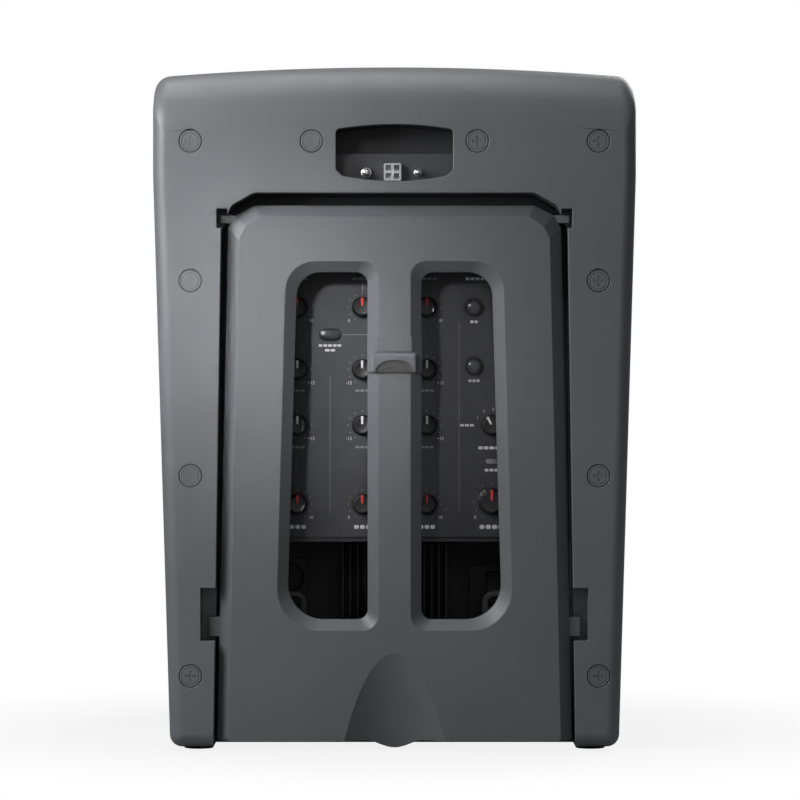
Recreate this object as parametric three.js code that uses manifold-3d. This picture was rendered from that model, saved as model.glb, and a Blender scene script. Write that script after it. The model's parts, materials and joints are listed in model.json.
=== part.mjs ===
// Powered subwoofer base of a column pa system: a moulded two-shell cabinet with a woofer behind a
// grille, and a rear bay with the mixer, the amplifier and a removable windowed cover.
// Millimetres. +Z is up, the grille faces -Y and the equipment bay faces +Y. The origin is on the
// floor under the middle of the cabinet.
import * as THREE from "three";
import { mergeVertices } from "three/addons/utils/BufferGeometryUtils.js";
import Module from "manifold-3d";

const wasm = await Module();
wasm.setup();

// ---- Driving dimensions ----------------------------------------------------------------------

// Cabinet.
const shoulderWidth = 380; // widest, over the shoulders
const footWidth = 353; // at the bottom edge, after the taper
const height = 540; // floor to the middle of the crowned top
const depth = 420; // grille edge to back face
const shoulderDrop = 88; // the side taper starts this far below the crown
const crownRise = 8; // the middle of the top over its ends
const footHeight = 3;
const wall = 5;
const topCorner = 13;
const bottomCorner = 10;
const edgeRadius = 11; // rear edges
const rollRadius = 46; // rear top edge
const frontRadius = 12;
const seamFromBack = 90; // plane where the two shells meet

// Clearances.
const gap = 0.3; // between pieces that touch
const slip = 0.5; // round a piece that moves
const play = 0.4; // round a piece that is fitted in

// Rear recess that takes the cover.
const topBand = 102; // cabinet above the recess
const recessHalfTop = 136;
const recessHalfBottom = 142;
const recessDepth = 49;
const lipWall = 4;
const shoulderFlat = 110; // half of the straight top edge

// Front.
const frameWidth = 15;
const frameDepth = 25; // front edge back to the baffle
const grilleSetback = 4;
const grilleSheet = 2;
const baffleThickness = 15;

// Woofer and port.
const wooferRadius = 127;
const wooferCentre = 262;
const portHalfWidth = 96;
const portHalfHeight = 21;
const portCentre = 66;
const portLength = 120;

// Equipment tub and what it holds.
const tubDepth = 105; // behind its flange
const tubWall = 4;
const panelThickness = 2.5;
const panelBottom = 166.5;
const boardThickness = 2;
const channelPitch = 51.4;
const finPitch = 6;
const heatsinkHalfWidth = 42;
const jackBore = 11.5;
const guideInner = 70; // middle of the base out to the cable guides
const guideBottom = 62;
const guideTop = 123;
const guideBar = 5;

// Housing screws.
const screwHead = 8.7;
const screwHeadHeight = 3.2;
const screwShank = 2.5;
const screwLength = 62;
const postRadius = 8;
const bossRadius = 12;
const postLength = 60; // reach of the screw posts in front of the seam
const screwEdge = 30; // shoulder edge in to the screw column

// Column socket.
const dockHalfWidth = 46;
const topScrewHalf = dockHalfWidth + 19; // middle of the base out to the screws beside the socket
const dockFromTop = 48.3; // crown down to the middle of the socket's arched top edge
const dockHeight = 44.8;
const dockDepth = 42;
const dockShelf = 18; // back face in to the connector plate

// Carry handle.
const handleHalfLength = 72;
const handleHalfCup = 46;
const handleCupDepth = 70;
const gripHalfWidth = 13;
const gripHeight = 22;

// Rear cover.
const coverGapTop = 9.5; // dark line over the cover
const coverSideGapTop = 5;
const coverSideGapBottom = 2.4;
const coverFoot = 7.4; // bottom edge above the floor
const coverWall = 4;
const coverDepth = 23;
const coverSetback = 4; // face below the cabinet's back face
const bevelWidth = 9;
const bevelDepth = 8;
const windowBottom = 103;
const windowTopDrop = 62; // recess top down to the window
const barHalfWidth = 21.2;
const windowHalfTop = 76.5;
const windowHalfBottom = 84.5;
const rimWidth = 8.5;
const tabHalfWidth = 146;
const tabBottom = 89.5;
const tabHeight = 15.5;
const notchPlay = 3;
const scoopHalfWidth = 40;
const scoopRise = 69.4;
const scoopDepth = 14;

// Cover latch.
const latchBottom = 297;
const latchLength = 28;
const latchTravel = 10;
const latchSkin = 1.4;
const stemHalfWidth = 3;
const stemHeight = 5;

// Controls.
const knobRadius = 8.6;
const mainKnobRadius = 11.3;
const knobHeight = 13;
const shaftRadius = 3;
const buttonRadius = 5.6;
const buttonTravel = 2;
const rockerTilt = 8; // degrees each way

// ---- Places worked out from them --------------------------------------------------------------

const backY = depth / 2;
const frontY = -depth / 2;
const seamY = backY - seamFromBack;
const baffleY = frontY + frameDepth;
const recessTop = height - topBand;
const recessFloorY = backY - recessDepth;
const coverFace = backY - coverSetback;
const coverRim = coverFace - bevelDepth;
const coverInside = coverFace - coverWall;
const coverBack = coverFace - coverDepth;
const screwColumn = shoulderWidth / 2 - screwEdge;
const topScrewHeight = height - 61.5;
const screwHeights = [topScrewHeight, recessTop - 69, 216, 59];
const dockTop = height - dockFromTop;
const dockBottom = dockTop - dockHeight;
const floorInside = footHeight + wall;
const tubHalfWidth = recessHalfTop - 5;
const tubTop = recessTop - 4;
const tubBottom = floorInside + 1;
const tubFlangeBack = recessFloorY - gap;
const panelBack = tubFlangeBack + gap;
const panelFace = panelBack + panelThickness;
const tubBackY = tubFlangeBack - tubDepth;
const bayBack = tubBackY + tubWall;

// ---- Solids -------------------------------------------------------------------------------------

// A closed three.js geometry as a solid. A lathe profile that runs the other way comes out inside
// out, so its faces are turned.
function solid(geometry) {
  const loose = geometry.index ? geometry.toNonIndexed() : geometry;
  const bare = new THREE.BufferGeometry();
  bare.setAttribute("position", loose.getAttribute("position"));
  const merged = mergeVertices(bare, 1e-3);
  const corners = merged.index.array;
  const kept = [];
  for (let i = 0; i < corners.length; i += 3) {
    const [a, b, c] = [corners[i], corners[i + 1], corners[i + 2]];
    if (a !== b && b !== c && c !== a) kept.push(a, b, c);
  }
  const make = (order) =>
    new wasm.Manifold(
      new wasm.Mesh({
        numProp: 3,
        vertProperties: merged.attributes.position.array,
        triVerts: new Uint32Array(order),
      }),
    );
  const made = make(kept);
  return made.volume() > 0 ? made : make(kept.reverse());
}

// The triangles of a solid as a geometry that three.js can draw.
function geometryOf(body) {
  const mesh = body.getMesh();
  const geometry = new THREE.BufferGeometry();
  geometry.setAttribute("position", new THREE.BufferAttribute(new Float32Array(mesh.vertProperties), 3));
  geometry.setIndex(new THREE.BufferAttribute(new Uint32Array(mesh.triVerts), 1));
  const flat = geometry.toNonIndexed();
  flat.computeVertexNormals();
  return flat;
}

function box(x0, x1, y0, y1, z0, z1) {
  const geometry = new THREE.BoxGeometry(x1 - x0, y1 - y0, z1 - z0);
  geometry.translate((x0 + x1) / 2, (y0 + y1) / 2, (z0 + z1) / 2);
  return solid(geometry);
}

// A round bar along Y.
function rod(radius, y0, y1, x = 0, z = 0, sides = 14) {
  const geometry = new THREE.CylinderGeometry(radius, radius, y1 - y0, sides);
  geometry.translate(x, (y0 + y1) / 2, z);
  return solid(geometry);
}

// A profile of [radius, y] points turned about the Y axis.
function turned(profile, sides = 16) {
  const points = profile.map(([radius, y]) => new THREE.Vector2(radius, y));
  return solid(new THREE.LatheGeometry(points, sides));
}

// A polygon of { x, z, r } corners with its corners rounded, as [x, z] points.
function rounded(corners, steps = 3) {
  const points = [];
  corners.forEach((corner, i) => {
    if (!corner.r) {
      points.push([corner.x, corner.z]);
      return;
    }
    const before = corners[(i + corners.length - 1) % corners.length];
    const after = corners[(i + 1) % corners.length];
    const here = new THREE.Vector2(corner.x, corner.z);
    const back = new THREE.Vector2(before.x, before.z).sub(here).normalize();
    const on = new THREE.Vector2(after.x, after.z).sub(here).normalize();
    const half = Math.acos(THREE.MathUtils.clamp(back.dot(on), -1, 1)) / 2;
    const centre = back.clone().add(on).normalize().multiplyScalar(corner.r / Math.sin(half)).add(here);
    const start = back.multiplyScalar(corner.r / Math.tan(half)).add(here).sub(centre);
    const end = on.multiplyScalar(corner.r / Math.tan(half)).add(here).sub(centre);
    const sweep = Math.atan2(start.cross(end), start.dot(end));
    for (let step = 0; step <= steps; step += 1) {
      const point = start.clone().rotateAround(new THREE.Vector2(), (sweep * step) / steps).add(centre);
      points.push([point.x, point.y]);
    }
  });
  return points;
}

// Corners of the +X half, from the bottom up, made into the whole outline.
function bothHalves(right) {
  return [...right, ...right.map(({ x, z, r }) => ({ x: -x, z, r })).reverse()];
}

function roundedBox(x0, x1, z0, z1, r, steps = 3) {
  return rounded([{ x: x1, z: z0, r }, { x: x1, z: z1, r }, { x: x0, z: z1, r }, { x: x0, z: z0, r }], steps);
}

// Sections { y, outline } with the same number of points each, skinned from low y to high y and
// closed at both ends. The outlines may run either way round, all alike.
function loft(given) {
  const flat = (outline) => outline.map(([x, z]) => new THREE.Vector2(x, z));
  const clockwise = THREE.ShapeUtils.area(flat(given[0].outline)) < 0;
  const sections = given.map(({ y, outline }) => ({
    y,
    outline: clockwise ? [...outline].reverse() : outline,
  }));
  const count = sections[0].outline.length;
  const positions = sections.flatMap(({ y, outline }) => outline.flatMap(([x, z]) => [x, y, z]));
  const index = [];
  const cap = (k, turn) => {
    const contour = flat(sections[k].outline);
    for (const face of THREE.ShapeUtils.triangulateShape(contour, [])) {
      const anticlockwise = THREE.ShapeUtils.area(face.map((i) => contour[i])) > 0;
      const [a, b, c] = anticlockwise === turn ? [face[0], face[2], face[1]] : face;
      index.push(k * count + a, k * count + b, k * count + c);
    }
  };
  cap(0, false);
  for (let k = 0; k + 1 < sections.length; k += 1) {
    for (let i = 0; i < count; i += 1) {
      const [a, b] = [k * count + i, k * count + ((i + 1) % count)];
      index.push(a, b + count, b, a, a + count, b + count);
    }
  }
  cap(sections.length - 1, true);
  const geometry = new THREE.BufferGeometry();
  geometry.setAttribute("position", new THREE.BufferAttribute(new Float32Array(positions), 3));
  geometry.setIndex(index);
  return solid(geometry);
}

function prism(outline, y0, y1) {
  return loft([{ y: y0, outline }, { y: y1, outline }]);
}

function union(bodies) {
  return bodies.reduce((whole, body) => whole.add(body));
}

// ---- Finishes and pieces ------------------------------------------------------------------------

const finishes = {
  housing: { color: 0x64666b, roughness: 0.5, metalness: 0 },
  cover: { color: 0x5c5e63, roughness: 0.48, metalness: 0 },
  panel: { color: 0x34353a, roughness: 0.55, metalness: 0.1 },
  liner: { color: 0x17181c, roughness: 0.7, metalness: 0 },
  knob: { color: 0x15161a, roughness: 0.4, metalness: 0 },
  metal: { color: 0xa9abb0, roughness: 0.35, metalness: 1 },
  castMetal: { color: 0x1c1d21, roughness: 0.5, metalness: 0.8 },
  grille: { color: 0x121316, roughness: 0.45, metalness: 0.6 },
  board: { color: 0x1c3b28, roughness: 0.6, metalness: 0 },
  rubber: { color: 0x101114, roughness: 0.9, metalness: 0 },
  cone: { color: 0x1a1b1e, roughness: 0.8, metalness: 0 },
  connector: { color: 0xb9bbc0, roughness: 0.45, metalness: 0 },
  wood: { color: 0x8f7350, roughness: 0.8, metalness: 0 },
  lens: { color: 0x6c6e74, roughness: 0.2, metalness: 0 },
};

function piece(name, body, finish) {
  const mesh = new THREE.Mesh(geometryOf(body), new THREE.MeshStandardMaterial(finishes[finish]));
  mesh.name = name;
  return mesh;
}

function placed(mesh, x, y, z) {
  mesh.position.set(x, y, z);
  return mesh;
}

// ---- Cabinet surfaces ---------------------------------------------------------------------------

// Outline of the cabinet moved in by inset, with its top lowered by a further drop.
function cabinetOutline(inset, drop = 0) {
  const half = shoulderWidth / 2 - inset;
  const end = height - crownRise - inset - drop;
  const crown = [2, 1, 0].map((step) => step / 3);
  const right = [
    { x: footWidth / 2 - inset, z: footHeight + inset, r: Math.max(bottomCorner - inset, 1) },
    { x: half, z: height - shoulderDrop, r: 0 },
    { x: half, z: end, r: Math.max(topCorner - inset, 1) },
    ...crown.map((share) => ({ x: half * share, z: end + crownRise * (1 - share * share), r: 0 })),
  ];
  const left = right.slice(0, -1).map(({ x, z, r }) => ({ x: -x, z, r }));
  return rounded([...right, ...left.reverse()]);
}

// How far a quarter-round edge has come in at a distance from its end.
function roundedIn(radius, distance) {
  return distance < radius ? radius - Math.sqrt(radius ** 2 - (radius - distance) ** 2) : 0;
}

// Distances from an end at which a quarter-round is cut into steps of the given angles.
function stepsOf(radius, angles) {
  return angles.map((angle) => radius * (1 - Math.cos(THREE.MathUtils.degToRad(angle))));
}

// The cabinet's surface moved in by offset, from y = front to the back, with the rear edges
// rounded and the rear top edge rolled over.
function cabinetBody(offset, front, frontRound = 0) {
  const end = backY - offset;
  const edge = Math.max(edgeRadius - offset, 1);
  const roll = rollRadius - offset;
  const rear = [...stepsOf(edge, [0, 45, 90]), ...stepsOf(roll, [52, 70, 90])];
  const rearSections = rear.map((distance) => {
    const inset = roundedIn(edge, distance);
    const drop = Math.max(roundedIn(roll, distance) - inset, 0);
    return { y: end - distance, outline: cabinetOutline(offset + inset, drop) };
  });
  const frontSections = (frontRound ? stepsOf(frontRound, [0, 45, 90]) : [0]).map((distance) => ({
    y: front + distance,
    outline: cabinetOutline(offset + roundedIn(frontRound, distance)),
  }));
  return loft([...frontSections, ...rearSections.reverse()]);
}

const outside = cabinetBody(0, frontY, frontRadius);
const inside = cabinetBody(wall, baffleY);

function allBetween(y0, y1) {
  return box(-shoulderWidth, shoulderWidth, y0, y1, -1, height + 1);
}

// Outline of the rear recess, moved in by inset, from a given bottom up.
function recessOutline(inset, bottom) {
  const taper = (recessHalfBottom - recessHalfTop) / (recessTop - 28);
  const halfAt = (z) => recessHalfBottom - taper * z - inset;
  return rounded(
    bothHalves([
      { x: halfAt(bottom), z: bottom, r: 0 },
      { x: halfAt(recessTop - 28), z: recessTop - 28, r: 6 },
      { x: shoulderFlat - inset / 2 + 18, z: recessTop - 10 - inset, r: 8 },
      { x: shoulderFlat - inset / 2, z: recessTop - inset, r: 8 },
    ]),
    3,
  );
}

const screwPlaces = [
  ...screwHeights.flatMap((z) => [-1, 1].map((side) => ({ x: side * screwColumn, z }))),
  ...[-1, 1].map((side) => ({ x: side * topScrewHalf, z: topScrewHeight })),
];

// Places of the notches that take the cover's side tabs and its upper ears.
const earBottom = recessTop - 23.3;
const earHeight = 6.3;
const notches = [
  { from: 131, to: 139.5, bottom: earBottom - 4.2, top: earBottom + earHeight + 4.5 },
  { from: 137, to: 152, bottom: tabBottom - notchPlay, top: tabBottom + tabHeight + 23 },
];
const notchDepth = 20;
const notchLiner = 3;

// Feet: rubber pucks with a spigot through the bottom wall.
const footRadius = 12;
const spigotRadius = 4;
const footPlaces = [-1, 1].flatMap((side) => [
  { x: side * 146, y: frontY + 58, name: side < 0 ? "foot_front_left" : "foot_front_right" },
  { x: side * 155, y: backY - 34, name: side < 0 ? "foot_rear_left" : "foot_rear_right" },
]);

// ---- Cabinet ------------------------------------------------------------------------------------

function rearHousing() {
  let shell = outside.intersect(allBetween(seamY + gap / 2, backY + 1));
  shell = shell.subtract(inside.intersect(allBetween(seamY - 1, backY)));
  const within = outside.intersect(allBetween(recessFloorY, backY - 1));
  const lip = prism(recessOutline(-lipWall, footHeight), recessFloorY, backY - 1);
  const liners = notches.flatMap(({ from, to, bottom, top }) =>
    [-1, 1].map((side) => {
      const ends = [side * (from - notchLiner), side * (to + notchLiner)].sort((a, b) => a - b);
      return box(...ends, backY - notchDepth - notchLiner, backY - 1, bottom - notchLiner, top + notchLiner);
    }),
  );
  const bosses = screwPlaces.map(({ x, z }) => rod(bossRadius, recessFloorY + 4 + gap, backY - 1, x, z));
  shell = shell.add(union([lip, ...liners, ...bosses]).intersect(within));
  const cuts = [prism(recessOutline(0, -1), recessFloorY, backY + 1)];
  for (const { x, z } of screwPlaces) {
    cuts.push(rod(screwHead + gap, backY - screwHeadHeight - 0.8, backY + 1, x, z));
    cuts.push(rod(screwShank + play, recessFloorY, backY, x, z, 8));
  }
  for (const { from, to, bottom, top } of notches) {
    for (const side of [-1, 1]) {
      const ends = [side * from, side * to].sort((a, b) => a - b);
      cuts.push(box(...ends, backY - notchDepth, backY + 1, bottom, top));
    }
  }
  cuts.push(prism(dockOutline(0), backY - wall - 1, backY + 1));
  cuts.push(...footPlaces.map(({ x, y }) => spigotHole(x, y)));
  return piece("rear_housing", shell.subtract(union(cuts)), "housing");
}

function frontHousing() {
  let shell = outside.intersect(allBetween(frontY - 1, seamY - gap / 2));
  shell = shell.subtract(inside.intersect(allBetween(baffleY, seamY + 1)));
  const posts = screwPlaces.flatMap(({ x, z }) => {
    const post = rod(postRadius, seamY - postLength, recessFloorY + 4, x, z, 10);
    const webSpan = [seamY - postLength, seamY - gap];
    const outwards = [x, (Math.sign(x) * shoulderWidth) / 2].sort((a, b) => a - b);
    const web =
      Math.abs(x) > topScrewHalf
        ? box(...outwards, ...webSpan, z - 2, z + 2)
        : box(x - 2, x + 2, ...webSpan, z, height);
    return [post, web];
  });
  const room = cabinetBody(wall / 2, baffleY);
  const [long, wide] = [handleHalfLength + 3, handleHalfCup + 3];
  shell = shell.add(union(posts).intersect(room));
  const cuts = [
    prism(cabinetOutline(frameWidth), frontY - 1, baffleY + 1),
    ...screwPlaces.map(({ x, z }) => rod(screwShank + gap, seamY - 20, backY, x, z, 8)),
    box(-long, long, -wide, wide, height - 40, height + 1),
    ...footPlaces.map(({ x, y }) => spigotHole(x, y)),
  ];
  return piece("front_housing", shell.subtract(union(cuts)), "housing");
}


// The same profile turned about Z instead of Y.
function upright(body) {
  return body.rotate([90, 0, 0]);
}

function spigotHole(x, y) {
  return upright(rod(spigotRadius + gap, 0, 20)).translate([x, y, 0]);
}

function foot(name) {
  const top = footHeight - gap;
  const profile = [
    [0, 0], [footRadius - 1.5, 0], [footRadius, 1.5], [footRadius, top],
    [spigotRadius, top], [spigotRadius, floorInside - 1], [0, floorInside - 1],
  ];
  return piece(name, upright(turned(profile, 14)), "rubber");
}

// A screw with a broad flat head, a cross recess and a shank, its head's face at y = 0.
function housingScrew(name) {
  const profile = [
    [0, -screwLength], [screwShank - 0.8, -screwLength], [screwShank, -screwLength + 2],
    [screwShank, -screwHeadHeight], [screwHead, -screwHeadHeight],
    [screwHead, -0.6], [screwHead - 0.6, 0], [0, 0],
  ];
  const arm = 4.2;
  const cross = box(-arm, arm, -1.8, 1, -0.9, 0.9).add(box(-0.9, 0.9, -1.8, 1, -arm, arm));
  return piece(name, turned(profile, 12).subtract(cross), "housing");
}

function frontGrille() {
  const edge = frameWidth + slip;
  const face = frontY + grilleSetback;
  const tray = prism(cabinetOutline(edge), face, baffleY - gap);
  const hollow = prism(cabinetOutline(edge + grilleSheet), face + grilleSheet, baffleY);
  return piece("front_grille", tray.subtract(hollow), "grille");
}

// ---- Woofer and port ----------------------------------------------------------------------------

const flangeThickness = 3.5;
const basketDepth = 84;
const magnetRadius = 62;
const magnetDepth = 34;
const surroundOuter = 120;
const coneRim = 94;
const rollCentre = 102;
const rollRise = 6.6;
const flangeFront = baffleY - gap - flangeThickness;

function portOutline(grow) {
  const [half, rise] = [portHalfWidth + grow, portHalfHeight + grow];
  return roundedBox(-half, half, portCentre - rise, portCentre + rise, rise * 0.95);
}

function wooferBaffle() {
  const front = baffleY + gap;
  const board = prism(cabinetOutline(wall + play), front, front + baffleThickness);
  const cuts = [
    rod(wooferRadius - 9, front - 1, front + baffleThickness + 1, 0, wooferCentre, 28),
    prism(portOutline(gap), front - 1, front + baffleThickness + 1),
  ];
  return piece("woofer_baffle", board.subtract(union(cuts)), "wood");
}

function bassPort() {
  const back = baffleY + baffleThickness + portLength;
  const tube = prism(portOutline(0), baffleY, back).add(prism(portOutline(7), baffleY - 3, baffleY));
  return piece("bass_port", tube.subtract(prism(portOutline(-3), baffleY - 4, back + 1)), "liner");
}

function wooferFrame() {
  const back = baffleY + basketDepth;
  const skirt = wooferRadius - 13;
  const basket = turned([
    [wooferRadius, flangeFront], [wooferRadius, flangeFront + flangeThickness],
    [skirt, flangeFront + flangeThickness], [skirt - 6, baffleY + 22],
    [magnetRadius + 2, back - 4], [magnetRadius + 2, back], [30, back], [30, back - 4],
    [magnetRadius - 4, back - 4], [skirt - 10, baffleY + 22],
    [rollCentre + 6, flangeFront], [wooferRadius, flangeFront],
  ], 28);
  const windows = [0, 1, 2, 3, 4, 5].map((step) =>
    upright(rod(17, 50, wooferRadius, 0, 0, 8))
      .translate([0, baffleY + basketDepth / 2 + 8, 0])
      .rotate([0, step * 60 + 30, 0]),
  );
  return placed(piece("woofer_frame", basket.subtract(union(windows)), "castMetal"), 0, 0, wooferCentre);
}

function wooferMagnet() {
  const front = baffleY + basketDepth + gap;
  const edge = 3;
  const magnet = turned([
    [9, front], [magnetRadius - edge, front], [magnetRadius, front + edge],
    [magnetRadius, front + magnetDepth - edge], [magnetRadius - edge, front + magnetDepth],
    [9, front + magnetDepth], [9, front],
  ], 20);
  return placed(piece("woofer_magnet", magnet, "castMetal"), 0, 0, wooferCentre);
}

// Half-round rubber roll with a flat lip glued on the frame's flange.
function wooferSurround() {
  const seat = flangeFront - gap;
  const skin = 1.2;
  const arc = (radius, base, from, to) =>
    [0, 1, 2, 3, 4].map((step) => {
      const angle = THREE.MathUtils.degToRad(from + ((to - from) * step) / 4);
      return [rollCentre + radius * Math.cos(angle), base - radius * Math.sin(angle)];
    });
  const outer = arc(rollRise, seat - skin, 0, 180);
  const inner = arc(rollRise - skin, seat, 180, 0);
  const rim = [surroundOuter, seat];
  const ring = turned([rim, [surroundOuter, seat - skin], ...outer, ...inner, rim], 28);
  return placed(piece("woofer_surround", ring, "rubber"), 0, 0, wooferCentre);
}

function wooferCone() {
  const rim = flangeFront - 1;
  const neck = rim + 40;
  const cone = turned([
    [0, neck - 13], [14, neck - 11], [26, neck - 6], [32, neck - 2],
    [coneRim - 3, rim], [coneRim, rim + 0.4], [coneRim, rim + 2.4], [coneRim - 3, rim + 2.6], [25, neck + 3],
    [25, neck + 36], [23.5, neck + 36], [23.5, neck + 2], [0, neck - 9],
  ], 28);
  return placed(piece("woofer_cone", cone, "cone"), 0, 0, wooferCentre);
}

// ---- Equipment tub, mixer and amplifier -----------------------------------------------------------

const jackColumn = 86;
const jackHeights = [130, 92];
const inletHeight = 104;
const inletHalfWidth = 25;
const inletHalfHeight = 36;
const inletBodyDepth = 14;
const jackBodyRadius = 12.6;
const jackBodyDepth = 14;
const bezelThickness = 3;
const bezelBack = bayBack + gap;
const bezelFace = bezelBack + bezelThickness;
const inletPlace = { x: -jackColumn, z: inletHeight };
const inletBodyInset = 3;

function equipmentTub() {
  const half = tubHalfWidth;
  const shelf = panelBottom - tubWall;
  const body = prism(roundedBox(-half, half, tubBottom, tubTop, 8), tubBackY, tubFlangeBack);
  const rim = recessOutline(-lipWall - slip, floorInside + gap);
  const flange = prism(rim, tubFlangeBack - tubWall, tubFlangeBack);
  const inner = half - tubWall;
  const cuts = [
    prism(roundedBox(-inner, inner, panelBottom, tubTop - tubWall, 5), bayBack, tubFlangeBack + 1),
    prism(roundedBox(-inner, inner, tubBottom + tubWall, shelf, 5), bayBack, tubFlangeBack + 1),
    ...jackHeights.map((z) => rod(jackBodyRadius + play, tubBackY - 1, bayBack + 1, jackColumn, z)),
    prism(inletOutline(play - inletBodyInset), tubBackY - 1, bayBack + 1),
  ];
  return piece("equipment_tub", body.add(flange).subtract(union(cuts)), "liner");
}

// Mixer layout: channel 1 is on the +X side, as seen from the rear it is on the left.
const channelColumns = [1.5, 0.5, -0.5].map((step) => step * channelPitch);
const mainColumn = -1.5 * channelPitch;
const rowDrops = [88.8, 138.3, 182.6, 245.4];
const rowNames = ["level", "treble", "bass", "reverb"];
const knobs = channelColumns.flatMap((x, channel) =>
  rowDrops.map((drop, row) => ({
    name: `channel_${channel + 1}_${rowNames[row]}_knob`,
    x,
    z: recessTop - drop,
    radius: knobRadius,
    turn: 0,
  })),
);
const [presetZ, mainZ] = [recessTop - rowDrops[2], recessTop - 243.3];
const presetKnob = { name: "preset_knob", x: mainColumn, z: presetZ, radius: knobRadius, turn: 28 };
const mainKnob = { name: "main_level_knob", x: mainColumn, z: mainZ, radius: mainKnobRadius, turn: 0 };
const allKnobs = [...knobs, presetKnob, mainKnob];
const buttons = [
  { name: "pairing_button", x: -63.2, z: recessTop - rowDrops[0] },
  { name: "voicing_button", x: -63.2, z: recessTop - 135.7 },
];
const phantomButton = { name: "phantom_button", x: channelPitch, z: recessTop - 110.5 };
const pillHalfLength = 7.6;
const pillHalfHeight = 3.8;
const lamp = { x: mainColumn, z: recessTop - 211.4, halfLength: 4.6, halfHeight: 2.3 };

function pillOutline({ x, z }, halfLength, halfHeight, grow = 0) {
  const [long, tall] = [halfLength + grow, halfHeight + grow];
  return roundedBox(x - long, x + long, z - tall, z + tall, tall * 0.98);
}

function mixerPanel() {
  const plate = prism(recessOutline(1, panelBottom), panelBack, panelFace);
  const span = [panelBack - 1, panelFace + 1];
  const cuts = [
    ...allKnobs.map(({ x, z }) => rod(shaftRadius + slip, ...span, x, z, 8)),
    ...buttons.map(({ x, z }) => rod(buttonRadius + slip, ...span, x, z)),
    prism(pillOutline(phantomButton, pillHalfLength, pillHalfHeight, slip), ...span),
    prism(pillOutline(lamp, lamp.halfLength, lamp.halfHeight, gap), ...span),
  ];
  return piece("mixer_panel", plate.subtract(union(cuts)), "panel");
}

const potDepth = 9;
const boardFace = panelBack - 21;
const shaftEnd = boardFace + potDepth + buttonTravel + 1; // inner end of the knobs' and buttons' shafts

// Board with a control body behind each knob and button and four stand-offs.
function mixerBoard() {
  const half = tubHalfWidth - tubWall - 6;
  const [bottom, top] = [panelBottom + 8, recessTop - 56];
  const board = box(-half, half, boardFace - boardThickness, boardFace, bottom, top);
  const potSpan = [boardFace - 1, boardFace + potDepth];
  const pots = allKnobs.map(({ x, z }) => box(x - 5, x + 5, ...potSpan, z - 5, z + 5));
  const switches = [...buttons, phantomButton].map(({ x, z }) =>
    box(x - 3, x + 3, ...potSpan, z - 3, z + 3),
  );
  const standoffs = [-1, 1].flatMap((side) =>
    [bottom + 5, top - 5].map((z) => rod(3, boardFace - 1, panelBack - gap, side * (half - 6), z, 10)),
  );
  return piece("mixer_circuit_board", union([board, ...pots, ...switches, ...standoffs]), "board");
}

function amplifierBoard() {
  const half = tubHalfWidth - tubWall - 12;
  const back = bayBack + 8;
  const [bottom, top] = [panelBottom + 14, tubTop - 30];
  const front = back + boardThickness;
  const parts = [
    box(-half, half, back, front, bottom, top),
    box(-90, -46, front - 1, front + 34, bottom + 20, bottom + 62),
    box(10, 86, front - 1, front + 26, top - 60, top - 18),
    ...[0, 1, 2, 3].map((step) => rod(12, front - 1, front + 40, -30 + step * 28, bottom + 96, 16)),
    ...[-1, 1].flatMap((side) =>
      [bottom + 5, top - 5].map((z) => rod(3, bayBack + gap, back + 1, side * (half - 6), z, 10)),
    ),
  ];
  return piece("amplifier_circuit_board", union(parts), "board");
}

function heatsink() {
  const [bottom, top] = [tubBottom + tubWall + 10, panelBottom - tubWall - 3];
  const face = bayBack + gap;
  const fins = [];
  const count = Math.floor(heatsinkHalfWidth / finPitch);
  for (let step = -count; step <= count; step += 1) {
    fins.push(box(step * finPitch - 1, step * finPitch + 1, face + 4, face + 40, bottom, top));
  }
  const base = box(-heatsinkHalfWidth - 1, heatsinkHalfWidth + 1, face, face + 5, bottom, top);
  return piece("amplifier_heatsink", union([base, ...fins]), "castMetal");
}

function comboJack(name, z) {
  const flange = prism(roundedBox(-13, 13, -15.5, 15.5, 2.5), bezelBack, bezelFace);
  const body = rod(jackBodyRadius, tubBackY - jackBodyDepth, bezelBack + 1);
  const bore = rod(jackBore, bezelFace - jackBodyDepth - 2, bezelFace + 1, 0, 0, 24);
  return placed(piece(name, flange.add(body).subtract(bore), "liner"), jackColumn, 0, z);
}

function inletOutline(grow) {
  const [half, rise] = [inletHalfWidth + grow, inletHalfHeight + grow];
  const { x, z } = inletPlace;
  return roundedBox(x - half, x + half, z - rise, z + rise, 2.5);
}

const rockerHalfWidth = 10;
const rockerHalfHeight = 12;
const rockerPlace = { x: inletPlace.x, y: bezelFace - 3, z: inletPlace.z + 17 };

// Mains inlet and the switch's frame in one bezel, with the inlet's three pins standing in it.
function mainsInlet() {
  const { x, z } = inletPlace;
  const back = tubBackY - inletBodyDepth;
  const body = prism(inletOutline(-inletBodyInset), back, bezelBack + 1);
  const cavity = prism(roundedBox(x - 12.2, x + 12.2, z - 27, z - 10, 3), back + 3, bezelFace + 1);
  const [halfWidth, halfHeight] = [rockerHalfWidth + slip, rockerHalfHeight + 1.6];
  const [low, high] = [rockerPlace.z - halfHeight, rockerPlace.z + halfHeight];
  const frame = box(x - halfWidth, x + halfWidth, back + 4, bezelFace + 1, low, high);
  const pins = [[-7, -20], [0, -17], [7, -20]].map(([dx, dz]) =>
    box(x + dx - 1, x + dx + 1, back + 2, bezelFace - 5, z + dz - 2, z + dz + 2),
  );
  const housing = prism(inletOutline(0), bezelBack, bezelFace).add(body);
  return piece("mains_inlet", housing.subtract(cavity).subtract(frame).add(union(pins)), "liner");
}

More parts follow.
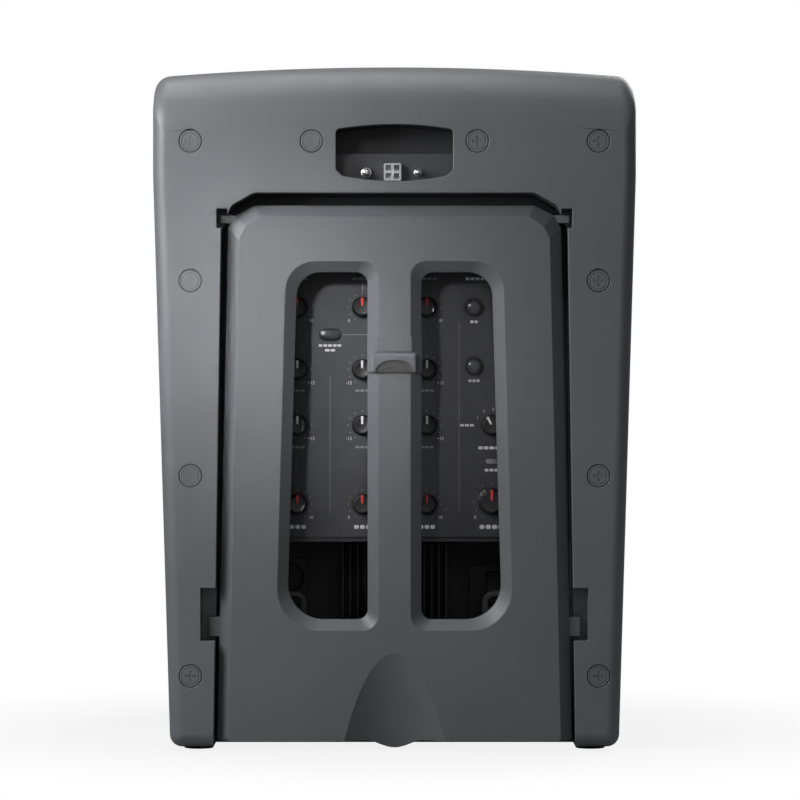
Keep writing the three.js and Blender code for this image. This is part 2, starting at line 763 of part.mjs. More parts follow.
// Rocker with a shallow V face, resting tilted one way.
function powerSwitch() {
  const [proud, dip, back, draft] = [4, 1.5, 5, 1.5];
  const section = [
    [-proud, rockerHalfHeight], [-dip, 0], [-proud, -rockerHalfHeight],
    [back, draft - rockerHalfHeight], [back, rockerHalfHeight - draft],
  ];
  const body = prism(section, -rockerHalfWidth, rockerHalfWidth).rotate([0, 0, -90]);
  const mesh = piece("power_switch", body, "knob");
  mesh.rotation.x = THREE.MathUtils.degToRad(rockerTilt);
  return placed(mesh, rockerPlace.x, rockerPlace.y, rockerPlace.z);
}

// Closed loop on each side of the bay that keeps the mains cord and the leads tidy.
function cableGuide(name, side) {
  const outer = tubHalfWidth - tubWall - gap;
  const [inner, low, high, bar] = [guideInner, guideBottom, guideTop, guideBar];
  const [front, back] = [tubFlangeBack - 16, tubFlangeBack - 5];
  const loop = prism(roundedBox(inner, outer, low, high, 9), front, back);
  const hole = prism(roundedBox(inner + bar, outer - bar, low + bar, high - bar, 4), front - 1, back + 1);
  const guide = loop.subtract(hole);
  return piece(name, side > 0 ? guide : guide.mirror([1, 0, 0]), "housing");
}

// ---- Column socket --------------------------------------------------------------------------------

// The socket's mouth: both long edges are slightly arched and the lower corners are cut off.
function dockOutline(grow) {
  const [archTop, archBottom, corner] = [3.7, 4.4, 5];
  const shares = [-3, -2, -1, 0, 1, 2, 3].map((step) => step / 3);
  const half = dockHalfWidth + grow;
  const bottom = shares.map((share) => [
    (half - corner) * share, dockBottom - grow + archBottom * share * share,
  ]);
  const top = shares.map((share) => [-(half - 2) * share, dockTop + grow - archTop * share * share]);
  const low = dockBottom - grow + archBottom + corner;
  const high = dockTop + grow - archTop - 2;
  return [...bottom, [half, low], [half, high], ...top, [-half, high], [-half, low]];
}

const dockWall = 3;
const dockBack = backY - wall - dockDepth;
const dockPlateFace = backY - dockShelf;
const dockPlateTop = dockBottom + 22.7;
const pinHeight = dockBottom + 7.6;
const connectorHalf = 6.9;

// Socket liner: deep above, with the connector's plate across its lower half.
function dockSocket() {
  const mouth = backY - wall - gap;
  const room = prism(dockOutline(slip), dockBack + dockWall, mouth + 1);
  const liner = prism(dockOutline(slip + dockWall), dockBack, mouth).subtract(room);
  const shelf = prism(dockOutline(slip + 1), dockBack + 1, dockPlateFace).intersect(
    box(-dockHalfWidth - 2, dockHalfWidth + 2, dockBack, backY, dockBottom - 5, dockPlateTop),
  );
  return piece("dock_socket", liner.add(shelf), "housing");
}

// Four-way power connector: a block with two rows of two square contacts.
function dockConnector() {
  const face = dockPlateFace + 6;
  const square = roundedBox(-connectorHalf, connectorHalf, -connectorHalf, connectorHalf, 1.2, 2);
  const block = prism(square, dockPlateFace + gap, face);
  const pitch = 3.2;
  const holes = [-1, 1].flatMap((dx) =>
    [-1, 1].map((dz) => {
      const hole = box(-2.1, 2.1, face - 4, face + 1, -2.1, 2.1);
      return hole.translate([dx * pitch, 0, dz * pitch]);
    }),
  );
  return placed(piece("dock_connector", block.subtract(union(holes)), "connector"), 1.5, 0, pinHeight + 0.5);
}

function dockPin(name, x, radius) {
  const [base, tip] = [dockPlateFace + gap, dockPlateFace + 11];
  const profile = [
    [0, base], [radius, base], [radius, base + 2.5], [radius * 0.7, base + 2.5],
    [radius * 0.7, tip - 1.5], [radius * 0.45, tip], [0, tip],
  ];
  return placed(piece(name, turned(profile, 20), "metal"), x, 0, pinHeight);
}

// ---- Rear cover and its latch ---------------------------------------------------------------------

// Outline of the cover, its top and sides moved in by inset and its bottom edge lifted.
function coverOutline(inset, lift = 0) {
  const halfFoot = recessHalfBottom - coverSideGapBottom - inset;
  const halfTop = recessHalfTop - coverSideGapTop - inset;
  const top = recessTop - coverGapTop - inset;
  return rounded(
    bothHalves([
      { x: halfFoot, z: coverFoot + lift, r: 3 },
      { x: halfTop, z: top - 17.5, r: 6 },
      { x: shoulderFlat + 15 - inset * 0.9, z: top - 7.5, r: 6 },
      { x: shoulderFlat - inset / 2, z: top, r: 6 },
    ]),
    3,
  );
}

const windowTop = recessTop - windowTopDrop;

// Outline of one window moved out by grow. side is +1 for the +X window.
function windowOutline(side, grow) {
  const inner = barHalfWidth - grow;
  const corners = [
    { x: windowHalfBottom + grow, z: windowBottom - grow, r: 28 + grow / 2 },
    { x: windowHalfTop + grow, z: windowTop + grow, r: 19 + grow / 2 },
    { x: inner, z: windowTop + grow, r: 9 + grow / 3 },
    { x: inner, z: windowBottom - grow, r: 8 + grow / 2 },
  ];
  return rounded(side > 0 ? corners : corners.map(({ x, z, r }) => ({ x: -x, z, r })).reverse(), 4);
}

function rearCover() {
  const over = 1;
  const bevelled = (inset, lift, back, rim, face) =>
    loft([
      { y: back, outline: coverOutline(inset, lift) },
      { y: rim, outline: coverOutline(inset, lift) },
      { y: face, outline: coverOutline(inset + bevelWidth, lift) },
    ]);
  const whole = bevelled(0, 0, coverBack, coverRim, coverFace);
  const inner = bevelled(coverWall, coverWall, coverBack - over, coverRim - coverWall * 0.5, coverInside);
  let shell = whole.subtract(inner);
  for (const side of [-1, 1]) {
    const collar = loft([
      { y: coverRim - coverWall, outline: windowOutline(side, coverWall - slip) },
      { y: coverRim, outline: windowOutline(side, coverWall - slip) },
      { y: coverFace - over, outline: windowOutline(side, rimWidth + coverWall - slip - over) },
    ]);
    shell = shell.add(collar);
  }
  const scoopRadius = (scoopHalfWidth ** 2 + scoopDepth ** 2) / (2 * scoopDepth);
  const lean = Math.atan2(scoopDepth, scoopRise);
  // A drum whose deepest line leaves the face at the top of the scoop and runs in towards its foot.
  const drum = (radius) =>
    upright(rod(radius, -200, 200, 0, 0, 48))
      .rotate([-THREE.MathUtils.radToDeg(lean), 0, 0])
      .translate([
        0,
        coverFace - scoopDepth + scoopRadius * Math.cos(lean),
        coverFoot - scoopRadius * Math.sin(lean),
      ]);
  shell = shell.add(drum(scoopRadius + coverWall).intersect(whole));
  const tabShape = roundedBox(-21.4, 21.4, 1.5, coverFoot + 8, 5);
  const tab = prism(tabShape, coverFace - scoopDepth - 4.5, coverFace - 7);
  const sides = [-1, 1].flatMap((side) => {
    const ear = [side * (recessHalfTop - 22), side * (recessHalfTop + 1.6)].sort((a, b) => a - b);
    const hook = [side * (tabHalfWidth - 18), side * tabHalfWidth].sort((a, b) => a - b);
    return [
      box(...ear, coverRim - 7, coverRim, earBottom, earBottom + earHeight),
      box(...hook, coverRim - 7, coverRim, tabBottom, tabBottom + tabHeight),
    ];
  });
  shell = shell.add(union([tab, ...sides]));
  const openings = [-1, 1].map((side) =>
    loft([
      { y: coverBack - over, outline: windowOutline(side, 0) },
      { y: coverRim, outline: windowOutline(side, 0) },
      { y: coverFace + over, outline: windowOutline(side, (rimWidth * (bevelDepth + over)) / bevelDepth) },
    ]),
  );
  const stemFoot = latchBottom + 2;
  const slot = box(
    -stemHalfWidth - play, stemHalfWidth + play, coverInside - over, coverFace + over,
    stemFoot - play, stemFoot + stemHeight + latchTravel + play,
  );
  return piece("rear_cover", shell.subtract(union([drum(scoopRadius), slot, ...openings])), "cover");
}

// Saddle over the cover's centre bar, with a thumb recess below and a headed stem through the bar.
function coverLatch() {
  const slopeRun = rimWidth / bevelDepth;
  const faceHalf = barHalfWidth - rimWidth;
  const normalX = 1 / Math.hypot(1, slopeRun);
  const low = coverRim + 2;
  // The bar's outer profile moved out by a distance, for the right half, from the foot up.
  const profile = (out) => {
    const shift = out / normalX;
    return [
      [faceHalf + (coverFace - low) * slopeRun + shift, low],
      [faceHalf - out * slopeRun + shift, coverFace + out],
    ];
  };
  const [thumbHalf, thumbRise] = [14.5, 9.5];
  const half = [...profile(gap).reverse(), ...profile(gap + latchSkin)];
  const section = [...half, ...half.map(([x, y]) => [-x, y]).reverse()].map(([x, y]) => [x, -y]);
  const saddle = upright(prism(section, latchBottom, latchBottom + latchLength));
  const hoodFace = backY;
  const hoodTop = latchBottom + 15.8;
  const skinFace = coverFace + gap + latchSkin;
  const hood = loft([
    { y: coverFace + gap + 0.5, outline: roundedBox(-17.5, 17.5, latchBottom, hoodTop, 2, 2) },
    { y: hoodFace, outline: roundedBox(-16, 16, latchBottom, hoodTop - 3, 2, 2) },
  ]);
  const arch = [0, 1, 2, 3, 4, 5, 6, 7, 8].map((step) => {
    const angle = (Math.PI * step) / 8;
    return [thumbHalf * Math.cos(angle), latchBottom + thumbRise * Math.sin(angle)];
  });
  const mouth = [[-thumbHalf, latchBottom - 1], [thumbHalf, latchBottom - 1]];
  const thumb = prism([...arch, ...mouth], skinFace, hoodFace + 1);
  const stemFoot = latchBottom + 2;
  const stemSpan = [stemFoot, stemFoot + stemHeight];
  const stem = box(-stemHalfWidth, stemHalfWidth, coverInside - 3, coverFace + gap + 0.5, ...stemSpan);
  const head = box(-6, 6, coverInside - gap - 3, coverInside - gap, ...stemSpan);
  return piece("cover_latch", union([saddle, hood]).subtract(thumb).add(union([stem, head])), "cover");
}

// ---- Knobs and buttons ------------------------------------------------------------------------------

const knobLift = 0.6;

function knob({ name, x, z, radius, turn }) {
  const [skirt, waist] = [2.5, 4];
  const base = panelFace + knobLift;
  const body = turned([
    [0, 0], [radius, 0], [radius, skirt], [radius * 0.77, waist], [radius * 0.7, knobHeight - 0.8],
    [radius * 0.62, knobHeight], [0, knobHeight],
  ], 14);
  const pointer = box(-0.9, 0.9, skirt - 1, knobHeight + 0.6, 0, radius * 0.92);
  const shaft = rod(shaftRadius, shaftEnd - base, 1, 0, 0, 8);
  const mesh = piece(name, union([body, pointer, shaft]), "knob");
  mesh.rotation.y = THREE.MathUtils.degToRad(turn);
  return placed(mesh, x, base, z);
}

function roundButton({ name, x, z }) {
  const base = shaftEnd;
  const cap = panelFace + 4.5;
  const profile = [
    [0, base], [2, base], [2, panelBack - 3], [buttonRadius, panelBack - 3], [buttonRadius, cap - 1.5],
    [buttonRadius * 0.7, cap - 0.3], [0, cap],
  ];
  return placed(piece(name, turned(profile), "knob"), x, 0, z);
}

function pillButton() {
  const outline = pillOutline(phantomButton, pillHalfLength, pillHalfHeight);
  const cap = prism(outline, panelBack - 3, panelFace + 2.5);
  const stem = rod(2, shaftEnd, panelBack - 2, phantomButton.x, phantomButton.z, 12);
  return piece(phantomButton.name, cap.add(stem), "knob");
}

function limitLamp() {
  const lens = prism(pillOutline(lamp, lamp.halfLength, lamp.halfHeight), panelBack - 4, panelFace + 0.8);
  return piece("limit_lamp", lens, "lens");
}

// ---- Carry handle -----------------------------------------------------------------------------------

const cupWall = 3.5;

function handleCup() {
  const skin = cabinetBody(0.5, baffleY);
  const [long, wide] = [handleHalfLength + 3 - gap, handleHalfCup + 3 - gap];
  const floor = height - handleCupDepth;
  const under = height - crownRise - wall - 2;
  const cup = box(-long, long, -wide, wide, floor - cupWall, height + 1).intersect(skin);
  const flange = box(-long - 9, long + 9, -wide - 9, wide + 9, under - 3, under);
  const hollow = box(-long + cupWall, long - cupWall, -wide + cupWall, wide - cupWall, floor, height + 2);
  return piece("handle_cup", cup.add(flange).subtract(hollow), "housing");
}

function carryHandle() {
  const reach = handleHalfLength + 3 - cupWall - 2 * gap;
  const top = height - 2.5;
  const grip = roundedBox(-gripHalfWidth, gripHalfWidth, top - gripHeight, top, 7, 4);
  // The grip's section is drawn in x, z and its length along y, then swung round to lie along x.
  return piece("carry_handle", prism(grip, -reach, reach).rotate([0, 0, -90]), "rubber");
}

// ---- The whole base -----------------------------------------------------------------------------------

const screwNames = ["top", "upper", "lower", "bottom", "centre"].flatMap((level) =>
  ["right", "left"].map((side) => `screw_${level}_${side}`),
);

const group = new THREE.Group();
group.add(
  rearHousing(),
  frontHousing(),
  frontGrille(),
  wooferBaffle(),
  wooferFrame(),
  wooferMagnet(),
  wooferSurround(),
  wooferCone(),
  bassPort(),
  handleCup(),
  carryHandle(),
  ...screwPlaces.map(({ x, z }, i) => placed(housingScrew(screwNames[i]), x, backY - 0.5, z)),
  ...footPlaces.map(({ x, y, name }) => placed(foot(name), x, y, 0)),
);

const equipment = new THREE.Group();
equipment.add(
  equipmentTub(),
  mixerPanel(),
  mixerBoard(),
  amplifierBoard(),
  heatsink(),
  ...jackHeights.map((z, i) => comboJack(`combo_jack_${i + 1}`, z)),
  mainsInlet(),
  powerSwitch(),
  cableGuide("cable_guide_left", 1),
  cableGuide("cable_guide_right", -1),
  ...allKnobs.map(knob),
  ...buttons.map(roundButton),
  pillButton(),
  limitLamp(),
  dockSocket(),
  dockConnector(),
  dockPin("dock_pin_left", 22.3, 4.2),
  dockPin("dock_pin_right", -18.4, 3.2),
);
group.add(equipment);

const cover = new THREE.Group();
cover.add(rearCover(), coverLatch());
group.add(cover);

export default group;
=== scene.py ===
"""Looks of the powered subwoofer base of a column pa system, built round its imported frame."""

import json
import math
from contextlib import contextmanager

import bmesh
import bpy
from mathutils import Matrix, Vector


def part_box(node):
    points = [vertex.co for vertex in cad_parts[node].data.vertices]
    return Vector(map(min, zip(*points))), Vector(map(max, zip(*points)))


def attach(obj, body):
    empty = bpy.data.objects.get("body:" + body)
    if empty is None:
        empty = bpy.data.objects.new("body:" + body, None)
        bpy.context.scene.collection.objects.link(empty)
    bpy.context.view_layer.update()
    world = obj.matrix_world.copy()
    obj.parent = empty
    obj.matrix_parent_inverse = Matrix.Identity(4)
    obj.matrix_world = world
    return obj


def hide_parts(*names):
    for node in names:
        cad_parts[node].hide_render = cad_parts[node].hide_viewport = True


MM = 0.001

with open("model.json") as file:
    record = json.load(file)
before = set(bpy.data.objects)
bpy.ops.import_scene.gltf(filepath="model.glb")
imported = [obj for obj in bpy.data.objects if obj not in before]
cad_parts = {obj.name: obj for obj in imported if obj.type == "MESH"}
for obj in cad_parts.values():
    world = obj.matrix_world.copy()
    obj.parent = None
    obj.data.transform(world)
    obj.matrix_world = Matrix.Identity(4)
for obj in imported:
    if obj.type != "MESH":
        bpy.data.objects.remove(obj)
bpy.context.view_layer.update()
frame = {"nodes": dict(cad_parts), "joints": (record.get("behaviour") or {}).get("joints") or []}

# ---- Places taken from the frame -----------------------------------------------------------------

rear_low, rear_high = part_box("rear_housing")
cover_low, cover_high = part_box("rear_cover")
latch_low, latch_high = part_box("cover_latch")
grille_low, grille_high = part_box("front_grille")

BACK = rear_high.y
SEAM = rear_low.y
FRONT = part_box("front_housing")[0].y
FRONT_SEAM = SEAM - 0.3 * MM
CROWN = rear_high.z
FOOT = rear_low.z
HALF = rear_high.x
PANEL_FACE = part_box("mixer_panel")[1].y
COVER_FACE = cover_high.y
joint_axis = {joint["child"]: Vector(joint["pos_m"]) for joint in frame["joints"] if "pos_m" in joint}

# ---- Sizes that the shells share with the frame --------------------------------------------------

FOOT_HALF = HALF - 13.5 * MM
SHOULDER = CROWN - 88 * MM
CROWN_RISE = 8 * MM
WALL = 5 * MM
TOP_CORNER = 13 * MM
FOOT_CORNER = 10 * MM
EDGE_ROUND = 11 * MM
ROLL = 46 * MM
FRONT_ROUND = 12 * MM
SEAM_CHAMFER = 0.9 * MM
RECESS_TOP = CROWN - 102 * MM
RECESS_HALF_TOP = 136 * MM
RECESS_HALF_FOOT = 142 * MM
RECESS_FLOOR = BACK - 49 * MM
LIP = 4 * MM
SHOULDER_FLAT = 110 * MM
NOTCH_DEPTH = 20 * MM
FRAME_WIDTH = 15 * MM
SCREW_HEAD = 8.7 * MM

# ---- The camera ----------------------------------------------------------------------------------

CAMERA_DISTANCE = 3.0
CAMERA_SIDE = -4.3 * MM
CAMERA_HEIGHT = 275.5 * MM
VIEW_WIDTH = 0.627  # width seen at the cabinet's back face
SENSOR = 36.0


def placed(name, data):
    """A new object in the scene."""
    thing = bpy.data.objects.new(name, data)
    bpy.context.scene.collection.objects.link(thing)
    return thing


def make_camera():
    data = bpy.data.cameras.new("camera")
    data.sensor_width = SENSOR
    data.lens = SENSOR * CAMERA_DISTANCE / VIEW_WIDTH
    data.clip_start, data.clip_end = 0.05, 50
    camera = placed("camera", data)
    camera.location = (CAMERA_SIDE, BACK + CAMERA_DISTANCE, CAMERA_HEIGHT)
    camera.rotation_euler = (math.radians(90), 0, math.radians(180))
    bpy.context.scene.camera = camera


make_camera()

# ---- Mesh tools ----------------------------------------------------------------------------------


def mesh_piece(name, verts, faces):
    mesh = bpy.data.meshes.new(name)
    mesh.from_pydata([tuple(v) for v in verts], [], faces)
    mesh.update()
    return placed(name, mesh)


@contextmanager
def reshaped(piece):
    """Opens a piece's mesh for changes and writes them back."""
    tool = bmesh.new()
    tool.from_mesh(piece.data)
    yield tool
    tool.to_mesh(piece.data)
    tool.free()


def rounded(corners, steps=8):
    """Points of a polygon of (x, z, radius) corners with its corners rounded."""
    points = []
    for i, (x, z, radius) in enumerate(corners):
        here = Vector((x, z))
        if radius <= 0:
            points.append((x, z))
            continue
        before = (Vector(corners[i - 1][:2]) - here).normalized()
        after = (Vector(corners[(i + 1) % len(corners)][:2]) - here).normalized()
        half = before.angle(after) / 2
        centre = here + (before + after).normalized() * radius / math.sin(half)
        start = here + before * radius / math.tan(half) - centre
        end = here + after * radius / math.tan(half) - centre
        sweep = math.atan2(start.x * end.y - start.y * end.x, start.dot(end))
        for step in range(steps + 1):
            turn = Matrix.Rotation(sweep * step / steps, 2)
            point = centre + turn @ start
            points.append((point.x, point.y))
    return points


def both_halves(right):
    """The +X half's corners from the bottom up, and their mirror images back down."""
    return right + [(-x, z, radius) for x, z, radius in reversed(right)]


def rounded_box(x0, x1, z0, z1, radius, steps=8):
    return rounded([(x1, z0, radius), (x1, z1, radius), (x0, z1, radius), (x0, z0, radius)], steps)


def loft(name, sections):
    """A closed skin over (y, outline) sections from low y to high y."""
    count = len(sections[0][1])
    verts = [(x, y, z) for y, outline in sections for x, z in outline]
    faces = [tuple(range(count)), tuple(reversed(range(len(verts) - count, len(verts))))]
    for k in range(len(sections) - 1):
        for i in range(count):
            a, b = k * count + i, k * count + (i + 1) % count
            faces.append((a, a + count, b + count, b))
    piece = mesh_piece(name, verts, faces)
    face_out(piece)
    return piece


def prism(name, outline, y0, y1):
    return loft(name, [(y0, outline), (y1, outline)])


def block(name, low, high, radius=0.0, steps=4):
    """A box, its four edges along Y rounded."""
    if radius:
        outline = rounded_box(low[0], high[0], low[2], high[2], radius, steps)
    else:
        outline = [(high[0], low[2]), (high[0], high[2]), (low[0], high[2]), (low[0], low[2])]
    return prism(name, outline, low[1], high[1])


def turned(name, profile, centre=(0, 0), sides=48, flute=None):
    """A profile of (radius, y) points turned about the line along Y through centre (x, z).

    flute(angle, k) may scale the k-th point's radius.
    """
    verts, rings = [], []
    for k, (radius, y) in enumerate(profile):
        if radius <= 0:
            rings.append([len(verts)])
            verts.append((centre[0], y, centre[1]))
            continue
        ring = []
        for step in range(sides):
            angle = 2 * math.pi * step / sides
            reach = radius * (flute(angle, k) if flute else 1)
            ring.append(len(verts))
            verts.append((centre[0] + reach * math.sin(angle), y, centre[1] + reach * math.cos(angle)))
        rings.append(ring)
    closed = profile[0][0] > 0
    faces = []
    for k in range(len(rings) - (0 if closed else 1)):
        a, b = rings[k], rings[(k + 1) % len(rings)]
        for i in range(sides):
            j = (i + 1) % sides
            corners = [a[i % len(a)], a[j % len(a)], b[j % len(b)], b[i % len(b)]]
            faces.append(tuple(dict.fromkeys(corners)))
    piece = mesh_piece(name, verts, [face for face in faces if len(face) > 2])
    face_out(piece)
    return piece


def rod(name, radius, y0, y1, centre=(0, 0), sides=48):
    return turned(name, [(0, y0), (radius, y0), (radius, y1), (0, y1)], centre, sides)


def face_out(piece):
    """Merges doubles and turns every face of a closed skin outwards."""
    with reshaped(piece) as tool:
        bmesh.ops.remove_doubles(tool, verts=tool.verts, dist=1e-7)
        bmesh.ops.recalc_face_normals(tool, faces=tool.faces)
    return piece


def settle(piece):
    """Applies the piece's modifiers to its mesh."""
    evaluated = piece.evaluated_get(bpy.context.evaluated_depsgraph_get())
    mesh = bpy.data.meshes.new_from_object(evaluated)
    old = piece.data
    piece.modifiers.clear()
    piece.data = mesh
    mesh.name = piece.name
    bpy.data.meshes.remove(old)
    return piece


def combined(piece, tools, operation):
    for tool in tools:
        modifier = piece.modifiers.new(operation.lower(), "BOOLEAN")
        modifier.operation = operation
        modifier.object = tool
        modifier.solver = "MANIFOLD"
    bpy.context.view_layer.update()
    settle(piece)
    for tool in tools:
        bpy.data.objects.remove(tool)
    return piece


def cut(piece, *tools):
    return combined(piece, tools, "DIFFERENCE")


def add(piece, *tools):
    return combined(piece, tools, "UNION")


def keep(piece, tool):
    return combined(piece, [tool], "INTERSECT")


def joined(name, pieces):
    """Several finished meshes as one piece."""
    tool = bmesh.new()
    for piece in pieces:
        tool.from_mesh(piece.data)
        bpy.data.objects.remove(piece)
    mesh = bpy.data.meshes.new(name)
    tool.to_mesh(mesh)
    tool.free()
    return placed(name, mesh)


GRID_STEP = 27 * MM
GRID_SHIFT = 0.13 * MM  # keeps the grid off the outlines' own corners
WIDE_FACE = 150 * MM  # edge loop of a many-sided face that is split before its edges are rounded


def tiled(piece, across=(), up=()):
    """Splits a piece's faces along a grid and through given x and z places.

    Later cuts then leave only small faces, without holes in them.
    """
    grids = (
        (Vector((1, 0, 0)), [GRID_STEP * k for k in range(-7, 8)] + list(across)),
        (Vector((0, 0, 1)), [GRID_STEP * k for k in range(21)] + list(up)),
    )
    with reshaped(piece) as tool:
        for along, places in grids:
            for place in sorted(places):
                parts = tool.verts[:] + tool.edges[:] + tool.faces[:]
                point = along * (place + GRID_SHIFT)
                bmesh.ops.bisect_plane(tool, geom=parts, dist=1e-6, plane_co=point, plane_no=along)
    return piece


def split_many_sided(piece, span=0.0):
    """Splits faces of more than four corners, with an edge loop over span, into triangles.

    Ringed and hollowed faces then keep their shape.
    """
    with reshaped(piece) as tool:
        many = [f for f in tool.faces if len(f.verts) > 4 and f.calc_perimeter() > span]
        bmesh.ops.triangulate(tool, faces=many, quad_method="BEAUTY", ngon_method="BEAUTY")


def soften(piece, width, segments=2, angle=38):
    """Rounds a piece's hard edges and shades the rest smooth."""
    if piece.name not in frame["nodes"]:
        split_many_sided(piece, WIDE_FACE)
    piece.data.polygons.foreach_set("use_smooth", [True] * len(piece.data.polygons))
    bevel = piece.modifiers.new("rounded_edges", "BEVEL")
    bevel.width = width
    bevel.segments = segments
    bevel.limit_method = "ANGLE"
    bevel.angle_limit = math.radians(angle)
    bevel.use_clamp_overlap = False
    bevel.miter_outer = "MITER_ARC"
    bevel.harden_normals = False
    bevel.face_strength_mode = "FSTR_ALL"
    weighted = piece.modifiers.new("even_normals", "WEIGHTED_NORMAL")
    weighted.keep_sharp = True
    weighted.weight = 60
    weighted.use_face_influence = True
    return piece


def smooth(piece, angle=35):
    piece.data.polygons.foreach_set("use_smooth", [True] * len(piece.data.polygons))
    piece.data.set_sharp_from_angle(angle=math.radians(angle))
    return piece


def finish_piece(piece, body, slot, material, *nodes):
    """Gives a piece its material and body, and hides the frame nodes that it stands for; slot is not used."""
    piece.data.materials.clear()
    piece.data.materials.append(material)
    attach(piece, body)
    if nodes:
        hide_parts(*nodes)
    return piece


# ---- Finishes ------------------------------------------------------------------------------------


def fill(tree, node, inputs):
    """Gives a node's inputs, named with _ for their spaces, a value or another node's output."""
    for label, value in inputs.items():
        socket = node.inputs[label.replace("_", " ")]
        if isinstance(value, bpy.types.NodeSocket):
            tree.links.new(value, socket)
        else:
            socket.default_value = value


def wired(tree, kind, **inputs):
    node = tree.nodes.new(kind)
    fill(tree, node, inputs)
    return node


def new_material(name):
    material = bpy.data.materials.new(name)
    material.use_nodes = True
    tree = material.node_tree
    tree.nodes.clear()
    shader = tree.nodes.new("ShaderNodeBsdfPrincipled")
    wired(tree, "ShaderNodeOutputMaterial", Surface=shader.outputs["BSDF"])
    return material, tree, shader


def noise(tree, scale, detail=4.0, rough=0.55, stretch=(1, 1, 1)):
    """Noise over the piece's own coordinates, scale in waves per metre."""
    place = tree.nodes.new("ShaderNodeTexCoord").outputs["Object"]
    mapping = wired(tree, "ShaderNodeMapping", Scale=stretch, Vector=place).outputs["Vector"]
    texture = wired(tree, "ShaderNodeTexNoise", Scale=scale, Detail=detail, Roughness=rough, Vector=mapping)
    return texture.outputs["Fac"]


def spread(tree, value, low, high, start=0.3, end=0.7):
    """Maps a 0 to 1 value's middle stretch onto low to high."""
    limits = {"From_Min": start, "From_Max": end, "To_Min": low, "To_Max": high}
    return wired(tree, "ShaderNodeMapRange", Value=value, **limits).outputs["Result"]


def maths(tree, operation, first, second):
    node = tree.nodes.new("ShaderNodeMath")
    node.operation = operation
    for socket, value in zip(node.inputs, (first, second)):
        if isinstance(value, (int, float)):
            socket.default_value = value
        else:
            tree.links.new(value, socket)
    return node.outputs[0]


def blend_colours(tree, factor, first, second):
    node = tree.nodes.new("ShaderNodeMix")
    node.data_type = "RGBA"
    for socket, colour in ((node.inputs[6], first), (node.inputs[7], second)):
        if isinstance(colour, tuple):
            socket.default_value = (*colour, 1)
        else:
            tree.links.new(colour, socket)
    tree.links.new(factor, node.inputs[0])
    return node.outputs[2]


def shade(colour, factor, plus=0.0):
    return tuple(min(c * factor + plus, 1) for c in colour)


def edges(tree, start=0.56, end=0.66):
    """1 on sharp outer edges, 0 elsewhere, broken up by noise."""
    geometry = tree.nodes.new("ShaderNodeNewGeometry")
    worn = spread(tree, geometry.outputs["Pointiness"], 0.0, 1.0, start, end)
    patches = spread(tree, noise(tree, 45), 0.15, 1.0, 0.4, 0.62)
    return maths(tree, "MULTIPLY", worn, patches)


def dressed(made, heights, **inputs):
    """Fills a new material's shader and chains (height socket, depth in metres) bumps into its normal."""
    material, tree, shader = made
    fill(tree, shader, inputs)
    normal = None
    for height, depth in heights:
        bump = wired(tree, "ShaderNodeBump", Strength=1.0, Distance=depth, Height=height)
        if normal is not None:
            tree.links.new(normal, bump.inputs["Normal"])
        normal = bump.outputs["Normal"]
    tree.links.new(normal, shader.inputs["Normal"])
    return material


def grained_plastic(name, colour, roughness=0.5, grain=1500, depth=0.035 * MM, worn=1.45):
    """Moulded plastic: fine grain, slow mottling of tone and gloss, and paler rubbed edges."""
    made = new_material(name)
    tree = made[1]
    mottling = spread(tree, noise(tree, 9, 6), 0.0, 1.0)
    tone = blend_colours(tree, mottling, shade(colour, 0.93), shade(colour, 1.07))
    return dressed(
        made,
        [(noise(tree, grain, 2), depth), (noise(tree, 160, 3), 0.03 * MM)],
        Base_Color=blend_colours(tree, edges(tree), tone, shade(colour, worn)),
        Roughness=spread(tree, noise(tree, 30, 6), roughness - 0.05, roughness + 0.06),
    )


def painted_metal(name, colour, roughness=0.5, metallic=0.0, grain=2200, depth=0.02 * MM, worn=2.0):
    """Sprayed paint: a fine orange peel, faint dust and bright rubbed edges."""
    made = new_material(name)
    tree = made[1]
    dust = spread(tree, noise(tree, 60, 8, 0.7), 0.0, 1.0, 0.35, 0.75)
    tone = blend_colours(tree, dust, colour, shade(colour, 1.25, 0.002))
    return dressed(
        made,
        [(noise(tree, grain, 2), depth)],
        Base_Color=blend_colours(tree, edges(tree), tone, shade(colour, worn, 0.02)),
        Roughness=spread(tree, noise(tree, 25, 5), roughness - 0.06, roughness + 0.08),
        Metallic=metallic,
    )


def soft_rubber(name, colour=(0.012, 0.012, 0.013)):
    made = new_material(name)
    tree = made[1]
    bloom = spread(tree, noise(tree, 40, 6), 0.0, 1.0, 0.4, 0.7)
    return dressed(
        made,
        [(noise(tree, 1100, 3), 0.04 * MM)],
        Base_Color=blend_colours(tree, bloom, colour, shade(colour, 2.0)),
        Roughness=spread(tree, noise(tree, 90, 4), 0.68, 0.85),
    )


def bare_metal(name, colour, roughness=0.3):
    made = new_material(name)
    tree = made[1]
    streaks = noise(tree, 700, 4, 0.6)
    return dressed(
        made,
        [(streaks, 0.01 * MM)],
        Base_Color=blend_colours(tree, streaks, shade(colour, 0.85), shade(colour, 1.1)),
        Roughness=spread(tree, streaks, roughness - 0.08, roughness + 0.1),
        Metallic=1.0,
    )


def printed_ink(name, colour):
    made = new_material(name)
    tree = made[1]
    wear = spread(tree, noise(tree, 500, 6), 0.0, 1.0, 0.35, 0.75)
    tone = blend_colours(tree, wear, colour, shade(colour, 0.75))
    return dressed(made, [(noise(tree, 2500, 2), 0.01 * MM)], Base_Color=tone, Roughness=0.55)


def wood_board(name):
    """Raw fibreboard with its flecks."""
    made = new_material(name)
    tree = made[1]
    flecks = noise(tree, 260, 10, 0.75, (1, 1, 2.5))
    tone = blend_colours(tree, spread(tree, flecks, 0.0, 1.0), (0.20, 0.125, 0.065), (0.40, 0.28, 0.16))
    return dressed(made, [(flecks, 0.15 * MM)], Base_Color=tone, Roughness=0.8)


